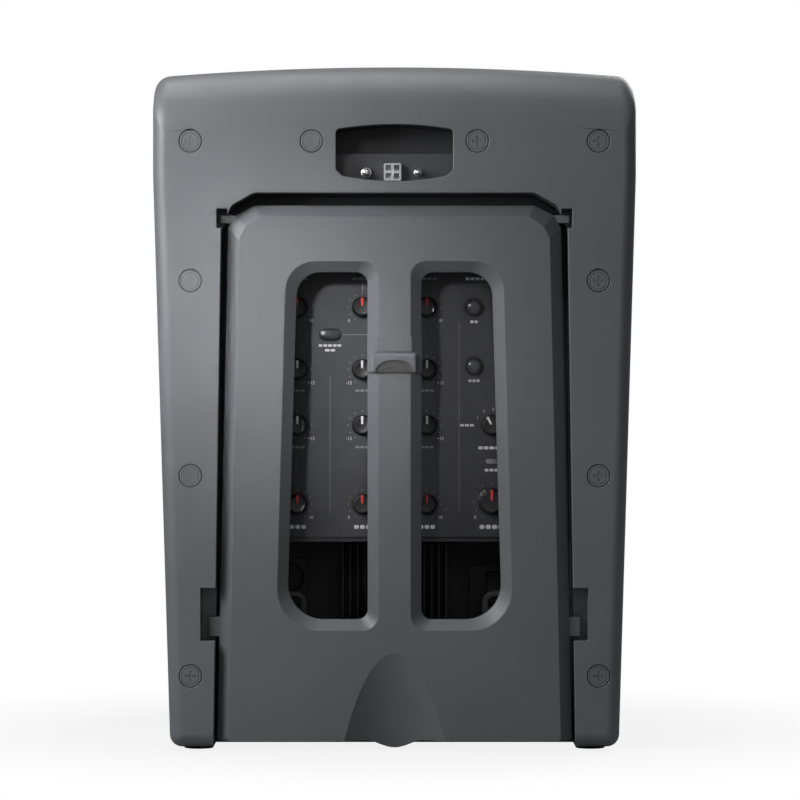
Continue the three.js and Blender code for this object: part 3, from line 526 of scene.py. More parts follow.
def smoked_lens(name):
    made = new_material(name)
    tree = made[1]
    tone = blend_colours(tree, noise(tree, 300, 3), (0.14, 0.14, 0.15), (0.26, 0.26, 0.28))
    heights = [(noise(tree, 900, 2), 0.01 * MM)]
    return dressed(made, heights, Base_Color=tone, Roughness=0.12, Coat_Weight=0.6)


housing_finish = grained_plastic("housing_plastic", (0.110, 0.113, 0.122), 0.46)
cover_finish = grained_plastic("cover_plastic", (0.101, 0.104, 0.113), 0.45)
plug_finish = grained_plastic("screw_plastic", (0.108, 0.111, 0.120), 0.44, grain=2500)
bay_finish = grained_plastic("bay_plastic", (0.026, 0.0265, 0.031), 0.5)
socket_finish = grained_plastic("socket_plastic", (0.011, 0.011, 0.012), 0.4)
knob_finish = grained_plastic("knob_plastic", (0.009, 0.009, 0.010), 0.36, grain=3000, worn=3.0)
dock_finish = grained_plastic("dock_plastic", (0.040, 0.041, 0.046), 0.5)
guide_finish = grained_plastic("guide_plastic", (0.055, 0.056, 0.06), 0.5)
# painted shade: plastic darker than the latch, standing in for the shade inside the thumb recess
painted_thumb_shade = grained_plastic("thumb_plastic", (0.060, 0.058, 0.058), 0.35)
connector_finish = grained_plastic("connector_plastic", (0.36, 0.37, 0.39), 0.42, worn=1.2)
panel_finish = painted_metal("panel_paint", (0.031, 0.032, 0.036), 0.55)
grille_finish = painted_metal("grille_paint", (0.014, 0.014, 0.016), 0.48, 0.3)
heatsink_finish = painted_metal("heatsink_anodised", (0.016, 0.016, 0.018), 0.42, 0.6)
basket_finish = painted_metal("basket_paint", (0.018, 0.018, 0.019), 0.45, 0.2)
magnet_finish = painted_metal("magnet_plating", (0.30, 0.29, 0.27), 0.35, 0.9, 900)
foam_finish = soft_rubber("grille_foam", (0.006, 0.006, 0.006))
rubber_finish = soft_rubber("rubber")
cone_finish = soft_rubber("cone_pulp", (0.016, 0.016, 0.018))
contact_finish = bare_metal("contact_metal", (0.72, 0.72, 0.73), 0.22)
white_ink = printed_ink("white_ink", (0.72, 0.72, 0.72))
grey_ink = printed_ink("grey_ink", (0.20, 0.20, 0.21))
red_ink = printed_ink("red_ink", (0.62, 0.035, 0.035))
board_finish = painted_metal("board_laminate", (0.012, 0.060, 0.030), 0.35, 0.0, 1200)
baffle_finish = wood_board("baffle_wood")
lamp_finish = smoked_lens("lamp_lens")
button_finish = grained_plastic("button_plastic", (0.045, 0.046, 0.05), 0.24, 3000, 0.01 * MM)

# ---- Cabinet shells ------------------------------------------------------------------------------


def cabinet_outline(inset, drop=0.0):
    half = HALF - inset
    end = CROWN - CROWN_RISE - inset - drop
    shares = [step / 12 for step in range(11, -12, -1)]
    crown = [(half * share, end + CROWN_RISE * (1 - share**2), 0) for share in shares]
    right = [
        (FOOT_HALF - inset, FOOT + inset, max(FOOT_CORNER - inset, 1 * MM)),
        (half, SHOULDER, 0),
        (half, end, max(TOP_CORNER - inset, 1 * MM)),
    ]
    return rounded(right + crown + both_halves(right)[len(right) :])


def rounded_in(radius, distance):
    """How far a quarter-round edge has come in at a distance from its end."""
    return radius - math.sqrt(radius**2 - (radius - distance) ** 2) if distance < radius else 0.0


def steps_of(radius, angles):
    return [radius * (1 - math.cos(math.radians(angle))) for angle in angles]


def rear_sections(offset, start):
    """Sections from y = start to the back, with rounded rear edges and a rolled top edge."""
    edge, roll = max(EDGE_ROUND - offset, 1 * MM), ROLL - offset
    far = steps_of(edge, range(0, 90, 10)) + steps_of(roll, range(42, 91, 4))
    sections = []
    for distance in sorted(far, reverse=True):
        inset = rounded_in(edge, distance)
        drop = max(rounded_in(roll, distance) - inset, 0.0)
        sections.append((BACK - offset - distance, cabinet_outline(offset + inset, drop)))
    return [(start, cabinet_outline(offset))] + sections


def recess_outline(inset, bottom):
    knee = RECESS_TOP - 28 * MM
    taper = (RECESS_HALF_FOOT - RECESS_HALF_TOP) / knee
    return rounded(
        both_halves(
            [
                (RECESS_HALF_FOOT - taper * bottom - inset, bottom, 0),
                (RECESS_HALF_FOOT - taper * knee - inset, knee, 6 * MM),
                (SHOULDER_FLAT - inset / 2 + 18 * MM, RECESS_TOP - 10 * MM - inset, 8 * MM),
                (SHOULDER_FLAT - inset / 2, RECESS_TOP - inset, 8 * MM),
            ]
        )
    )


DOCK_HALF = 46 * MM
DOCK_TOP = CROWN - 48.3 * MM
DOCK_FOOT = DOCK_TOP - 44.8 * MM


def dock_outline(grow):
    """The column socket's mouth: long edges slightly arched, lower corners cut off."""
    half = DOCK_HALF + grow
    shares = [step / 8 for step in range(-8, 9)]
    arch_top, arch_foot, corner = 3.7 * MM, 4.4 * MM, 5 * MM
    foot = [((half - corner) * s, DOCK_FOOT - grow + arch_foot * s * s) for s in shares]
    top = [(-(half - 2 * MM) * s, DOCK_TOP + grow - arch_top * s * s) for s in shares]
    low, high = DOCK_FOOT - grow + arch_foot + corner, DOCK_TOP + grow - arch_top - 2 * MM
    return foot + [(half, low), (half, high)] + top + [(-half, high), (-half, low)]


def middle(node):
    low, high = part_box(node)
    return (low + high) / 2


screw_nodes = sorted(node for node in frame["nodes"] if node.startswith("screw_"))
screw_places = [middle(node) for node in screw_nodes]
screw_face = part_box(screw_nodes[0])[1].y

EAR_FOOT = RECESS_TOP - 23.3 * MM
TAB_FOOT = 89.5 * MM
notches = [
    (131 * MM, 139.5 * MM, EAR_FOOT - 4.2 * MM, EAR_FOOT + 10.8 * MM),
    (137 * MM, 152 * MM, TAB_FOOT - 3 * MM, TAB_FOOT + 38.5 * MM),
]
FAR = 1 * MM  # how far a cutter runs past what it cuts
LINER = 3 * MM
CUP_HALF = (75 * MM, 49 * MM)
CUP_DEPTH = 60 * MM


def both_sides(start, end):
    return [(start, end), (-end, -start)]


def rear_housing():
    chamfer = [(SEAM, cabinet_outline(SEAM_CHAMFER))]
    outer = loft("rear_shell", chamfer + rear_sections(0, SEAM + SEAM_CHAMFER))
    tiled(outer, {place.x for place in screw_places}, {place.z for place in screw_places})
    hollow = loft("hollow", rear_sections(WALL, SEAM - FAR))
    solid_parts = [prism("lip", recess_outline(-LIP, -FAR), RECESS_FLOOR, BACK + FAR)]
    for start, end, low, high in notches:
        for x0, x1 in both_sides(start - LINER, end + LINER):
            corner = (x0, BACK - NOTCH_DEPTH - LINER, low - LINER)
            solid_parts.append(block("liner", corner, (x1, BACK + FAR, high + LINER)))
    for x, _, z in screw_places:
        solid_parts.append(rod("boss", 12 * MM, RECESS_FLOOR + WALL, BACK + FAR, (x, z), 32))
    cut(hollow, *solid_parts)
    cutters = [hollow, prism("recess", recess_outline(0, -10 * MM), RECESS_FLOOR, BACK + FAR)]
    cutters.append(prism("mouth", dock_outline(0), BACK - WALL - FAR, BACK + FAR))
    for start, end, low, high in notches:
        for x0, x1 in both_sides(start, end):
            corner = (x0, BACK - NOTCH_DEPTH, low)
            cutters.append(block("notch", corner, (x1, BACK + FAR, high), 0.8 * MM))
    hole, mouth, step = 3 * MM, SCREW_HEAD + 0.35 * MM, BACK - 4 * MM
    pocket = [
        (0, RECESS_FLOOR), (hole, RECESS_FLOOR), (hole, step),
        (mouth, step), (mouth, BACK + FAR), (0, BACK + FAR),
    ]
    for x, _, z in screw_places:
        cutters.append(turned("pocket", pocket, (x, z), 40))
    cut(outer, *cutters)
    soften(outer, 0.6 * MM)
    finish_piece(outer, "base", "housing_plastic", housing_finish, "rear_housing")


def front_sections(end):
    """Sections from the rounded front edge to y = end."""
    sections = []
    for distance in steps_of(FRONT_ROUND, range(0, 91, 9)):
        sections.append((FRONT + distance, cabinet_outline(rounded_in(FRONT_ROUND, distance))))
    return sections + [(end, cabinet_outline(0))]


def front_housing():
    sections = front_sections(FRONT_SEAM - SEAM_CHAMFER) + [(FRONT_SEAM, cabinet_outline(SEAM_CHAMFER))]
    shell = tiled(loft("front_shell", sections))
    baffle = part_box("woofer_baffle")[0].y
    cup_x, cup_y = CUP_HALF
    cup_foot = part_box("handle_cup")[1].z - CUP_DEPTH
    cut(
        shell,
        prism("hollow", cabinet_outline(WALL), baffle, FRONT_SEAM + FAR),
        prism("front_mouth", cabinet_outline(FRAME_WIDTH), FRONT - FAR, baffle + FAR),
        block("cup_mouth", (-cup_x, -cup_y, cup_foot), (cup_x, cup_y, CROWN + FAR)),
    )
    posts = []
    foot, half_web = SEAM - 60 * MM, 2 * MM
    for x, _, z in screw_places:
        posts.append(rod("post", 8 * MM, foot, RECESS_FLOOR + 3 * MM, (x, z), 20))
        if abs(x) > 0.1:
            x0, x1 = sorted((x, math.copysign(wall_half(z) - half_web, x)))
            low, high = (x0, foot, z - half_web), (x1, FRONT_SEAM, z + half_web)
        else:
            low, high = (x - half_web, foot, z), (x + half_web, FRONT_SEAM, CROWN - 4 * MM)
        posts.append(block("web", low, high))
    add(shell, *posts)
    soften(shell, 0.6 * MM)
    finish_piece(shell, "base", "housing_plastic", housing_finish, "front_housing")


def wall_half(z):
    """Half the cabinet's width at a height."""
    share = min((z - FOOT) / (SHOULDER - FOOT), 1)
    return FOOT_HALF + (HALF - FOOT_HALF) * share


# ---- Rear cover and latch ------------------------------------------------------------------------

COVER_WALL = 4 * MM
BEVEL_WIDTH = 9 * MM
BEVEL_DEPTH = 8 * MM
COVER_RIM = COVER_FACE - BEVEL_DEPTH
COVER_FOOT = 7.4 * MM
BAR_HALF = 21.2 * MM
WINDOW_FOOT = 103 * MM
WINDOW_TOP = RECESS_TOP - 62 * MM
RIM_WIDTH = 8.5 * MM
SCOOP_HALF = 40 * MM
SCOOP_RISE = 69.4 * MM
SCOOP_DEPTH = 14 * MM
SCOOP_RADIUS = (SCOOP_HALF**2 + SCOOP_DEPTH**2) / (2 * SCOOP_DEPTH)
TAB_HALF = 21.4 * MM
TAB_DROP = COVER_FOOT - 1.5 * MM
HOOK_THICKNESS = 7 * MM
SLOT_HALF = 3.4 * MM


def cover_outline(inset, lift=0.0):
    top = RECESS_TOP - 9.5 * MM - inset
    return rounded(
        both_halves(
            [
                (RECESS_HALF_FOOT - 2.4 * MM - inset, COVER_FOOT + lift, 3 * MM),
                (RECESS_HALF_TOP - 5 * MM - inset, top - 17.5 * MM, 6 * MM),
                (SHOULDER_FLAT + 15 * MM - inset * 0.9, top - 7.5 * MM, 6 * MM),
                (SHOULDER_FLAT - inset / 2, top, 6 * MM),
            ]
        )
    )


def window_outline(side, grow):
    inner = BAR_HALF - grow
    corners = [
        (84.5 * MM + grow, WINDOW_FOOT - grow, 28 * MM + grow / 2),
        (76.5 * MM + grow, WINDOW_TOP + grow, 19 * MM + grow / 2),
        (inner, WINDOW_TOP + grow, 9 * MM + grow / 3),
        (inner, WINDOW_FOOT - grow, 8 * MM + grow / 2),
    ]
    if side < 0:
        corners = [(-x, z, radius) for x, z, radius in reversed(corners)]
    return rounded(corners, 12)


def drum(name, radius, lean):
    """A round bar along the finger scoop, whose deepest line leans in from the scoop's top to its foot."""
    bar = rod(name, radius, -0.2, 0.2, sides=160)
    y = COVER_FACE - SCOOP_DEPTH + SCOOP_RADIUS * math.cos(lean)
    z = COVER_FOOT - SCOOP_RADIUS * math.sin(lean)
    turn = Matrix.Rotation(-lean, 4, "X") @ Matrix.Rotation(math.radians(90), 4, "X")
    bar.data.transform(Matrix.Translation((0, y, z)) @ turn)
    return bar


def bevelled(name, inset, lift, back, rim, face):
    outer = cover_outline(inset, lift)
    return loft(name, [(back, outer), (rim, outer), (face, cover_outline(inset + BEVEL_WIDTH, lift))])


def thumb_tab():
    """The cover's foot bulges down below the middle of the scoop."""
    edge = []
    for k in range(-16, 17):
        share = k / 16
        fall = (0.5 + 0.5 * math.cos(math.pi * share)) ** 0.8
        edge.append((TAB_HALF * share, COVER_FOOT - TAB_DROP * fall))
    top = COVER_FOOT + 8 * MM
    outline = edge + [(TAB_HALF, top), (-TAB_HALF, top)]
    return prism("tab", outline, COVER_FACE - SCOOP_DEPTH - 4.5 * MM, COVER_FACE - 7 * MM)


def side_lugs(name, start, end, foot, height):
    """A lug on each side of the cover, just behind its rim."""
    lugs = []
    for x0, x1 in both_sides(start, end):
        low, high = (x0, COVER_RIM - HOOK_THICKNESS, foot), (x1, COVER_RIM, foot + height)
        lugs.append(block(name, low, high))
    return lugs


def rear_cover():
    back, thin = cover_low.y, COVER_WALL
    lean = math.atan2(SCOOP_DEPTH, SCOOP_RISE)
    cover = tiled(bevelled("cover_shell", 0, 0, back, COVER_RIM, COVER_FACE))
    cut(cover, bevelled("inside", thin, thin, back - FAR, COVER_RIM - thin / 2, COVER_FACE - thin))
    whole = bevelled("whole", 0, 0, back, COVER_RIM, COVER_FACE)
    extras = [keep(drum("backing", SCOOP_RADIUS + thin, lean), whole)]
    narrow = thin - 0.5 * MM
    over = RIM_WIDTH * (BEVEL_DEPTH + FAR) / BEVEL_DEPTH
    cutters = [drum("scoop", SCOOP_RADIUS, lean)]
    for side in (1, -1):
        collar = [(COVER_RIM - thin, narrow), (COVER_RIM, narrow)]
        collar.append((COVER_FACE - FAR, RIM_WIDTH + narrow - FAR))
        window = [(back - FAR, 0), (COVER_RIM, 0), (COVER_FACE + FAR, over)]
        extras.append(loft("collar", [(y, window_outline(side, grow)) for y, grow in collar]))
        cutters.append(loft("window", [(y, window_outline(side, grow)) for y, grow in window]))
    extras.append(thumb_tab())
    extras += side_lugs("ear", RECESS_HALF_TOP - 22 * MM, RECESS_HALF_TOP + 1.6 * MM, EAR_FOOT, 6.3 * MM)
    extras += side_lugs("hook", 128 * MM, 146 * MM, TAB_FOOT, 15.5 * MM)
    add(cover, *extras)
    slot_foot = latch_low.z + 1.6 * MM
    low = (-SLOT_HALF, COVER_FACE - 6 * MM, slot_foot)
    cutters.append(block("slot", low, (SLOT_HALF, COVER_FACE + FAR, slot_foot + 15.8 * MM), 1 * MM))
    cut(cover, *cutters)
    soften(cover, 0.5 * MM, 2, 9.5)
    finish_piece(cover, "cover", "cover_plastic", cover_finish, "rear_cover")


def cover_latch():
    """Saddle that follows the bar, a hood with an arched thumb recess, and the headed stem."""
    gap, skin = 0.3 * MM, 1.4 * MM
    low, high, length = latch_low.z, latch_high.z, latch_high.z - latch_low.z
    slope = RIM_WIDTH / BEVEL_DEPTH
    face_half = BAR_HALF - RIM_WIDTH
    normal = math.hypot(1, slope)
    foot = COVER_RIM + 2 * MM

    def profile(out):
        return [
            (face_half + (COVER_FACE - foot) * slope + out * normal, foot),
            (face_half - out * slope + out * normal, COVER_FACE + out),
        ]

    half = profile(gap)[::-1] + profile(gap + skin)
    section = half + [(-x, y) for x, y in reversed(half)]
    count = len(section)
    verts = [(x, y, z) for z in (low, high) for x, y in section]
    faces = [tuple(range(count)), tuple(range(count, 2 * count))]
    faces += [(i, (i + 1) % count, count + (i + 1) % count, count + i) for i in range(count)]
    saddle = face_out(mesh_piece("latch_shell", verts, faces))
    skin_face = COVER_FACE + gap + skin
    hood_high = low + 15.8 * MM
    hood = loft(
        "hood",
        [
            (COVER_FACE + gap + 0.5 * MM, rounded_box(-17.8 * MM, 17.8 * MM, low, hood_high, 2 * MM)),
            (latch_high.y - 0.6 * MM, rounded_box(-17 * MM, 17 * MM, low, hood_high - 2.2 * MM, 2 * MM)),
            (latch_high.y, rounded_box(-16.4 * MM, 16.4 * MM, low + 0.5 * MM, hood_high - 2.9 * MM, 2 * MM)),
        ],
    )
    inside = COVER_FACE - COVER_WALL
    z0, z1 = low + 2 * MM, low + 7 * MM
    stem = block("stem", (-3 * MM, inside - 3 * MM, z0), (3 * MM, COVER_FACE + gap + 0.5 * MM, z1))
    head = block("head", (-6 * MM, inside - gap - 3 * MM, z0), (6 * MM, inside - gap, z1))
    add(saddle, hood, stem, head)

    def arch(half_width, rise, base):
        turns = [math.pi * step / 24 for step in range(25)]
        return [(half_width * math.cos(turn), base + rise * math.sin(turn)) for turn in turns]

    mouth = arch(15.4 * MM, 10 * MM, low) + [(-15.4 * MM, low - FAR), (15.4 * MM, low - FAR)]
    pocket = prism("pocket", mouth, skin_face - 0.4 * MM, latch_high.y + FAR)
    seam = block("seam", (-25 * MM, skin_face - 0.35 * MM, low + 15.9 * MM), (25 * MM, BACK, low + 16.3 * MM))
    cut(saddle, pocket, seam)
    split_many_sided(saddle)
    soften(saddle, 0.3 * MM, 2, 30)
    finish_piece(saddle, "latch", "cover_plastic", cover_finish, "cover_latch")
    # A thin sheet in the shallow pocket and the ridge round it, coloured darker than the latch: painted shade
    # of the thumb recess.
    floor = arch(15.3 * MM, 9.9 * MM, low + 0.1 * MM)
    lining = prism("lining", floor, skin_face - 0.35 * MM, skin_face + 0.1 * MM)
    rise, step = 1.1 * MM, 0.3 * MM
    ring = [(0, 0), (9.6 * MM, 0), (9.2 * MM, rise), (7.8 * MM, rise), (7.4 * MM, step), (0, step)]
    ridge = turned("ridge", ring, sides=64)
    ridge.data.transform(Matrix.Translation((0, skin_face, low)) @ Matrix.Diagonal((1.25, 1, 0.62, 1)))
    trim = block("trim", (-20 * MM, 0, low - 20 * MM), (20 * MM, 1, low + 0.15 * MM))
    cut(ridge, trim)
    thumb = joined("latch_thumb_recess", [lining, ridge])
    smooth(thumb, 40)
    finish_piece(thumb, "latch", "cover_plastic", painted_thumb_shade)


# ---- Frame nodes kept as they are ----------------------------------------------------------------


def carried(node, material, width):
    """A frame node that keeps its shape: edges rounded by modifiers, and a finish of its own."""
    piece = frame["nodes"][node]
    for place in piece.material_slots:
        place.material = material
    weld = piece.modifiers.new("weld", "WELD")
    weld.merge_threshold = 0.002 * MM
    if width:
        soften(piece, width, angle=35)


carried_nodes = {
    "handle_cup": (housing_finish, 0.8 * MM),
    "woofer_baffle": (baffle_finish, 0.5 * MM),
    "woofer_frame": (basket_finish, 0.4 * MM),
    "woofer_magnet": (magnet_finish, 0.8 * MM),
    "woofer_surround": (rubber_finish, 0),
    "woofer_cone": (cone_finish, 0),
    "bass_port": (bay_finish, 0.8 * MM),
    "equipment_tub": (bay_finish, 0.6 * MM),
    "mixer_panel": (panel_finish, 0.25 * MM),
    "mixer_circuit_board": (board_finish, 0),
    "amplifier_circuit_board": (board_finish, 0),
    "amplifier_heatsink": (heatsink_finish, 0.25 * MM),
    "combo_jack_1": (socket_finish, 0.4 * MM),
    "combo_jack_2": (socket_finish, 0.4 * MM),
    "mains_inlet": (socket_finish, 0.5 * MM),
    "power_switch": (knob_finish, 0.4 * MM),
    "cable_guide_left": (guide_finish, 1.0 * MM),
    "cable_guide_right": (guide_finish, 1.0 * MM),
    "dock_socket": (dock_finish, 0.5 * MM),
    "dock_connector": (connector_finish, 0.25 * MM),
    "dock_pin_left": (contact_finish, 0.4 * MM),
    "dock_pin_right": (contact_finish, 0.4 * MM),
}


def carried_over():
    for node, look in carried_nodes.items():
        carried(node, *look)


# ---- Mixer controls ------------------------------------------------------------------------------

COLUMNS = {"channel_1": 77.1 * MM, "channel_2": 25.7 * MM, "channel_3": -25.7 * MM}
ROWS = ("level", "treble", "bass", "reverb")
PRESET_TURN = math.radians(28)
KNOB_FLUTES = 20


def knob_shape(name, place, radius, base, top):
    """A fluted knob with a skirt and a dished top."""
    profile = [
        (0, base), (radius, base), (radius, base + 1.0 * MM), (radius * 0.93, base + 1.5 * MM),
        (radius * 0.84, base + 2.4 * MM), (radius * 0.80, top - 0.9 * MM), (radius * 0.77, top - 0.3 * MM),
        (radius * 0.70, top), (radius * 0.55, top - 0.3 * MM), (0, top - 0.5 * MM),
    ]

    def flute(angle, k):
        return 1 - 0.035 * (1 + math.cos(KNOB_FLUTES * angle)) if k in (4, 5, 6) else 1

    return smooth(turned(name, profile, place, 160, flute), 32)


def pointer_shape(name, place, radius, base, top, turn):
    """A raised line from the middle of the knob's top, over the edge and down its side."""
    tip, half = radius * 0.83, 1.0 * MM
    taper = [(0.75 * half, half), (half, tip), (-half, tip), (-0.75 * half, half)]
    line = prism("line", taper, top - 0.8 * MM, top + 0.25 * MM)
    drop = block("drop", (-half, base + 1.6 * MM, tip - 0.6 * MM), (half, top, tip + 0.35 * MM))
    wedge = joined(name, [line, drop])
    wedge.data.transform(Matrix.Translation((place[0], 0, place[1])) @ Matrix.Rotation(turn, 4, "Y"))
    soften(wedge, 0.2 * MM)
    return wedge


def control_knob(body, ink, turn=0.0):
    low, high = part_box(body)
    axis = joint_axis[body]
    place = (axis.x, axis.z)
    radius = high.x - axis.x if turn == 0 else min(high.x - axis.x, axis.z - low.z)
    base, top = PANEL_FACE + 0.6 * MM, high.y - 0.6 * MM
    cap = knob_shape(body + "_cap", place, radius, base, top)
    finish_piece(cap, body, "knob_plastic", knob_finish, body)
    mark = pointer_shape(body + "_pointer", place, radius, base, top, turn)
    finish_piece(mark, body, "knob_plastic", ink)


RING_FOOT = PANEL_FACE - 0.2 * MM  # the buttons' bezels start just inside the panel
RING_SHOULDER = PANEL_FACE + 0.7 * MM


def round_button(body):
    """A domed cap on its stem, in a raised bezel."""
    low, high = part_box(body)
    place = ((low.x + high.x) / 2, (low.z + high.z) / 2)
    radius, stem, rise = (high.x - low.x) / 2, 2 * MM, 1.4 * MM
    turns = [math.radians(degrees) for degrees in range(0, 90, 10)]
    dome = [(radius * math.cos(turn), high.y - rise * (1 - math.sin(turn))) for turn in turns]
    foot = [(0, low.y), (stem, low.y), (stem, RING_SHOULDER), (radius, RING_SHOULDER)]
    profile = foot + dome + [(0, high.y)]
    cap = smooth(turned(body + "_cap", profile, place, 64))
    finish_piece(cap, body, "knob_plastic", button_finish, body)
    inner, outer, top = radius + 0.35 * MM, radius + 2.0 * MM, PANEL_FACE + 1.3 * MM
    bezel = [
        (inner, RING_FOOT), (outer, RING_FOOT), (outer, RING_SHOULDER),
        (outer - 0.6 * MM, top), (inner + 0.25 * MM, top), (inner, top - 0.3 * MM),
    ]
    ring = smooth(turned(body + "_ring", bezel, place, 64))
    finish_piece(ring, "base", "knob_plastic", socket_finish)


def pill_shape(name, x, z, width, height, y0, y1, crown=0.4 * MM):
    radius = height / 2 - 0.01 * MM

    def outline(inset):
        half, rise = width / 2 - inset, height / 2 - inset
        return rounded_box(x - half, x + half, z - rise, z + rise, radius - inset, 10)

    rings = ((y0, 0), (y1 - crown, 0), (y1 - crown * 0.3, crown * 0.4), (y1, crown))
    return smooth(loft(name, [(y, outline(inset)) for y, inset in rings]))


def pill_place(node):
    """A pill's middle, width and height from its frame node."""
    low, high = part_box(node)
    return (low.x + high.x) / 2, (low.z + high.z) / 2, high.x - low.x, high.z - low.z


def pill_and_lamp():
    x, z, width, height = pill_place("phantom_button")
    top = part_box("phantom_button")[1].y
    cap = pill_shape("phantom_button_cap", x, z, width, height, PANEL_FACE - 1.5 * MM, top)
    finish_piece(cap, "phantom_button", "knob_plastic", button_finish, "phantom_button")
    rim, gap = 2.6 * MM, 0.6 * MM
    ring = pill_shape(
        "phantom_button_ring", x, z, width + rim, height + rim, RING_FOOT, RING_SHOULDER, 0.3 * MM
    )
    hole = pill_shape(
        "hole", x, z, width + gap, height + gap, PANEL_FACE - FAR, PANEL_FACE + FAR, 0.01 * MM
    )
    cut(ring, hole)
    finish_piece(smooth(ring), "base", "knob_plastic", socket_finish)
    low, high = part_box("limit_lamp")
    lens = pill_shape("limit_lamp_lens", *pill_place("limit_lamp"), low.y, high.y)
    finish_piece(lens, "base", "lamp_lens", lamp_finish, "limit_lamp")


def new_nodes(name, inputs):
    """A Geometry Nodes tree that takes a geometry and named float or integer inputs."""
    tree = bpy.data.node_groups.new(name, "GeometryNodeTree")
    tree.interface.new_socket("Geometry", in_out="INPUT", socket_type="NodeSocketGeometry")
    sockets = {}
    for label, kind, value in inputs:
        socket = tree.interface.new_socket(label, in_out="INPUT", socket_type=kind)
        socket.default_value = value
        sockets[label] = socket.identifier
    tree.interface.new_socket("Geometry", in_out="OUTPUT", socket_type="NodeSocketGeometry")
    return tree, tree.nodes.new("NodeGroupInput"), tree.nodes.new("NodeGroupOutput"), sockets


def grown(piece, tree, sockets, values):
    """Runs a Geometry Nodes tree on a piece and keeps the result as its plain mesh."""
    modifier = piece.modifiers.new(tree.name, "NODES")
    modifier.node_group = tree
    for label, value in values.items():
        modifier[sockets[label]] = value
    bpy.context.view_layer.update()
    return settle(piece)


def closing(tree, geometry, output, material):
    """Ends a tree: real geometry with its material."""
    real = wired(tree, "GeometryNodeRealizeInstances", Geometry=geometry).outputs["Geometry"]
    coat = wired(tree, "GeometryNodeSetMaterial", Geometry=real, Material=material)
    fill(tree, output, {"Geometry": coat.outputs["Geometry"]})


def copied(tree, points, shape, **inputs):
    """Puts a shape on every point."""
    node = wired(tree, "GeometryNodeInstanceOnPoints", Points=points, Instance=shape, **inputs)
    return node.outputs["Instances"]


DIAL_SWEEP = math.radians(300)
DOT_COUNT = 11


def dial_dots_tree():
    """A ring of small dots round each point, over the dial's sweep."""
    inputs = [
        ("Dots", "NodeSocketInt", DOT_COUNT),
        ("Ring radius", "NodeSocketFloat", 11 * MM),
        ("Dot radius", "NodeSocketFloat", 0.5 * MM),
    ]
    tree, given, output, sockets = new_nodes("dial_dots", inputs)
    count, reach = given.outputs["Dots"], given.outputs["Ring radius"]
    index = tree.nodes.new("GeometryNodeInputIndex").outputs[0]
    share = maths(tree, "DIVIDE", index, maths(tree, "SUBTRACT", count, 1))
    angle = maths(tree, "MULTIPLY_ADD", share, DIAL_SWEEP)
    angle.node.inputs[2].default_value = -DIAL_SWEEP / 2
    across = maths(tree, "MULTIPLY", maths(tree, "SINE", angle, 0), reach)
    up = maths(tree, "MULTIPLY", maths(tree, "COSINE", angle, 0), reach)
    place = wired(tree, "ShaderNodeCombineXYZ", X=across, Z=up).outputs["Vector"]
    dots = wired(tree, "GeometryNodePoints", Count=count, Position=place).outputs[0]
    dot = wired(
        tree, "GeometryNodeMeshCylinder", Vertices=10, Depth=0.08 * MM, Radius=given.outputs["Dot radius"]
    )
    ring = copied(tree, dots, dot.outputs["Mesh"], Rotation=(math.radians(90), 0, 0))
    closing(tree, copied(tree, given.outputs["Geometry"], ring), output, grey_ink)
    return tree, sockets


def printed_number(words, x, z, height):
    """A number printed on the panel, read from behind the cabinet."""
    curve = bpy.data.curves.new("number", "FONT")
    curve.body = words
    curve.size = height / 0.7
    curve.align_x, curve.align_y = "CENTER", "CENTER"
    curve.extrude = 0.04 * MM
    curve.resolution_u = 3
    text = placed("number", curve)
    bpy.context.view_layer.update()
    mesh = bpy.data.meshes.new_from_object(text.evaluated_get(bpy.context.evaluated_depsgraph_get()))
    bpy.data.objects.remove(text)
    mesh.transform(Matrix(((-1, 0, 0, x), (0, 0, 1, PANEL_FACE), (0, 1, 0, z), (0, 0, 0, 1))))
    return face_out(placed("number", mesh))


def printed_bar(x, z, width, height):
    round_by = min(width, height) * 0.3
    outline = rounded_box(x - width / 2, x + width / 2, z - height / 2, z + height / 2, round_by, 3)
    return prism("bar", outline, PANEL_FACE - 0.02 * MM, PANEL_FACE + 0.04 * MM)


def caption(x, z, width, height, parts):
    """Stands for a word: a row of short bars."""
    gap = height * 0.35
    step = (width + gap) / parts
    start = x - width / 2 + (step - gap) / 2
    return [printed_bar(start + k * step, z, step - gap, height) for k in range(parts)]


def dial_dots():
    """The rings of dots round the channel dials and the main dial."""
    dials = [joint_axis[f"{column}_{row}_knob"] for column in COLUMNS for row in ROWS]
    tree, sockets = dial_dots_tree()
    rings = (("dial_dots", dials, 11.2, 0.55), ("main_dial_dots", [joint_axis["main_level_knob"]], 14.2, 0.6))
    for name, places, reach, radius in rings:
        dots = mesh_piece(name, [(dial.x, PANEL_FACE, dial.z) for dial in places], [])
        grown(dots, tree, sockets, {"Dots": DOT_COUNT, "Ring radius": reach * MM, "Dot radius": radius * MM})
        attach(dots, "base")
    bpy.data.node_groups.remove(tree)


def dial_ends(place, across, down, ends, height):
    """The numbers at a dial's two ends."""
    low, high = ends
    return [
        printed_number(low, place.x + across, place.z - down, height),
        printed_number(high, place.x - across, place.z - down, height),
    ]


NAME_ROW = 174.5 * MM  # captions under the lowest dials
HEAD_ROW = 372 * MM  # captions over the highest dials
FILTER_ROWS = (283 * MM, 238 * MM)
PRESET_REACH = 12.6 * MM
PRESET_TURNS = {"1": 62, "2": 28, "3": -6, "4": -40}
DIVIDERS = ((51.4, 240, 110), (0, 262, 150), (-51.4, 262, 150))  # x, middle height and length in mm


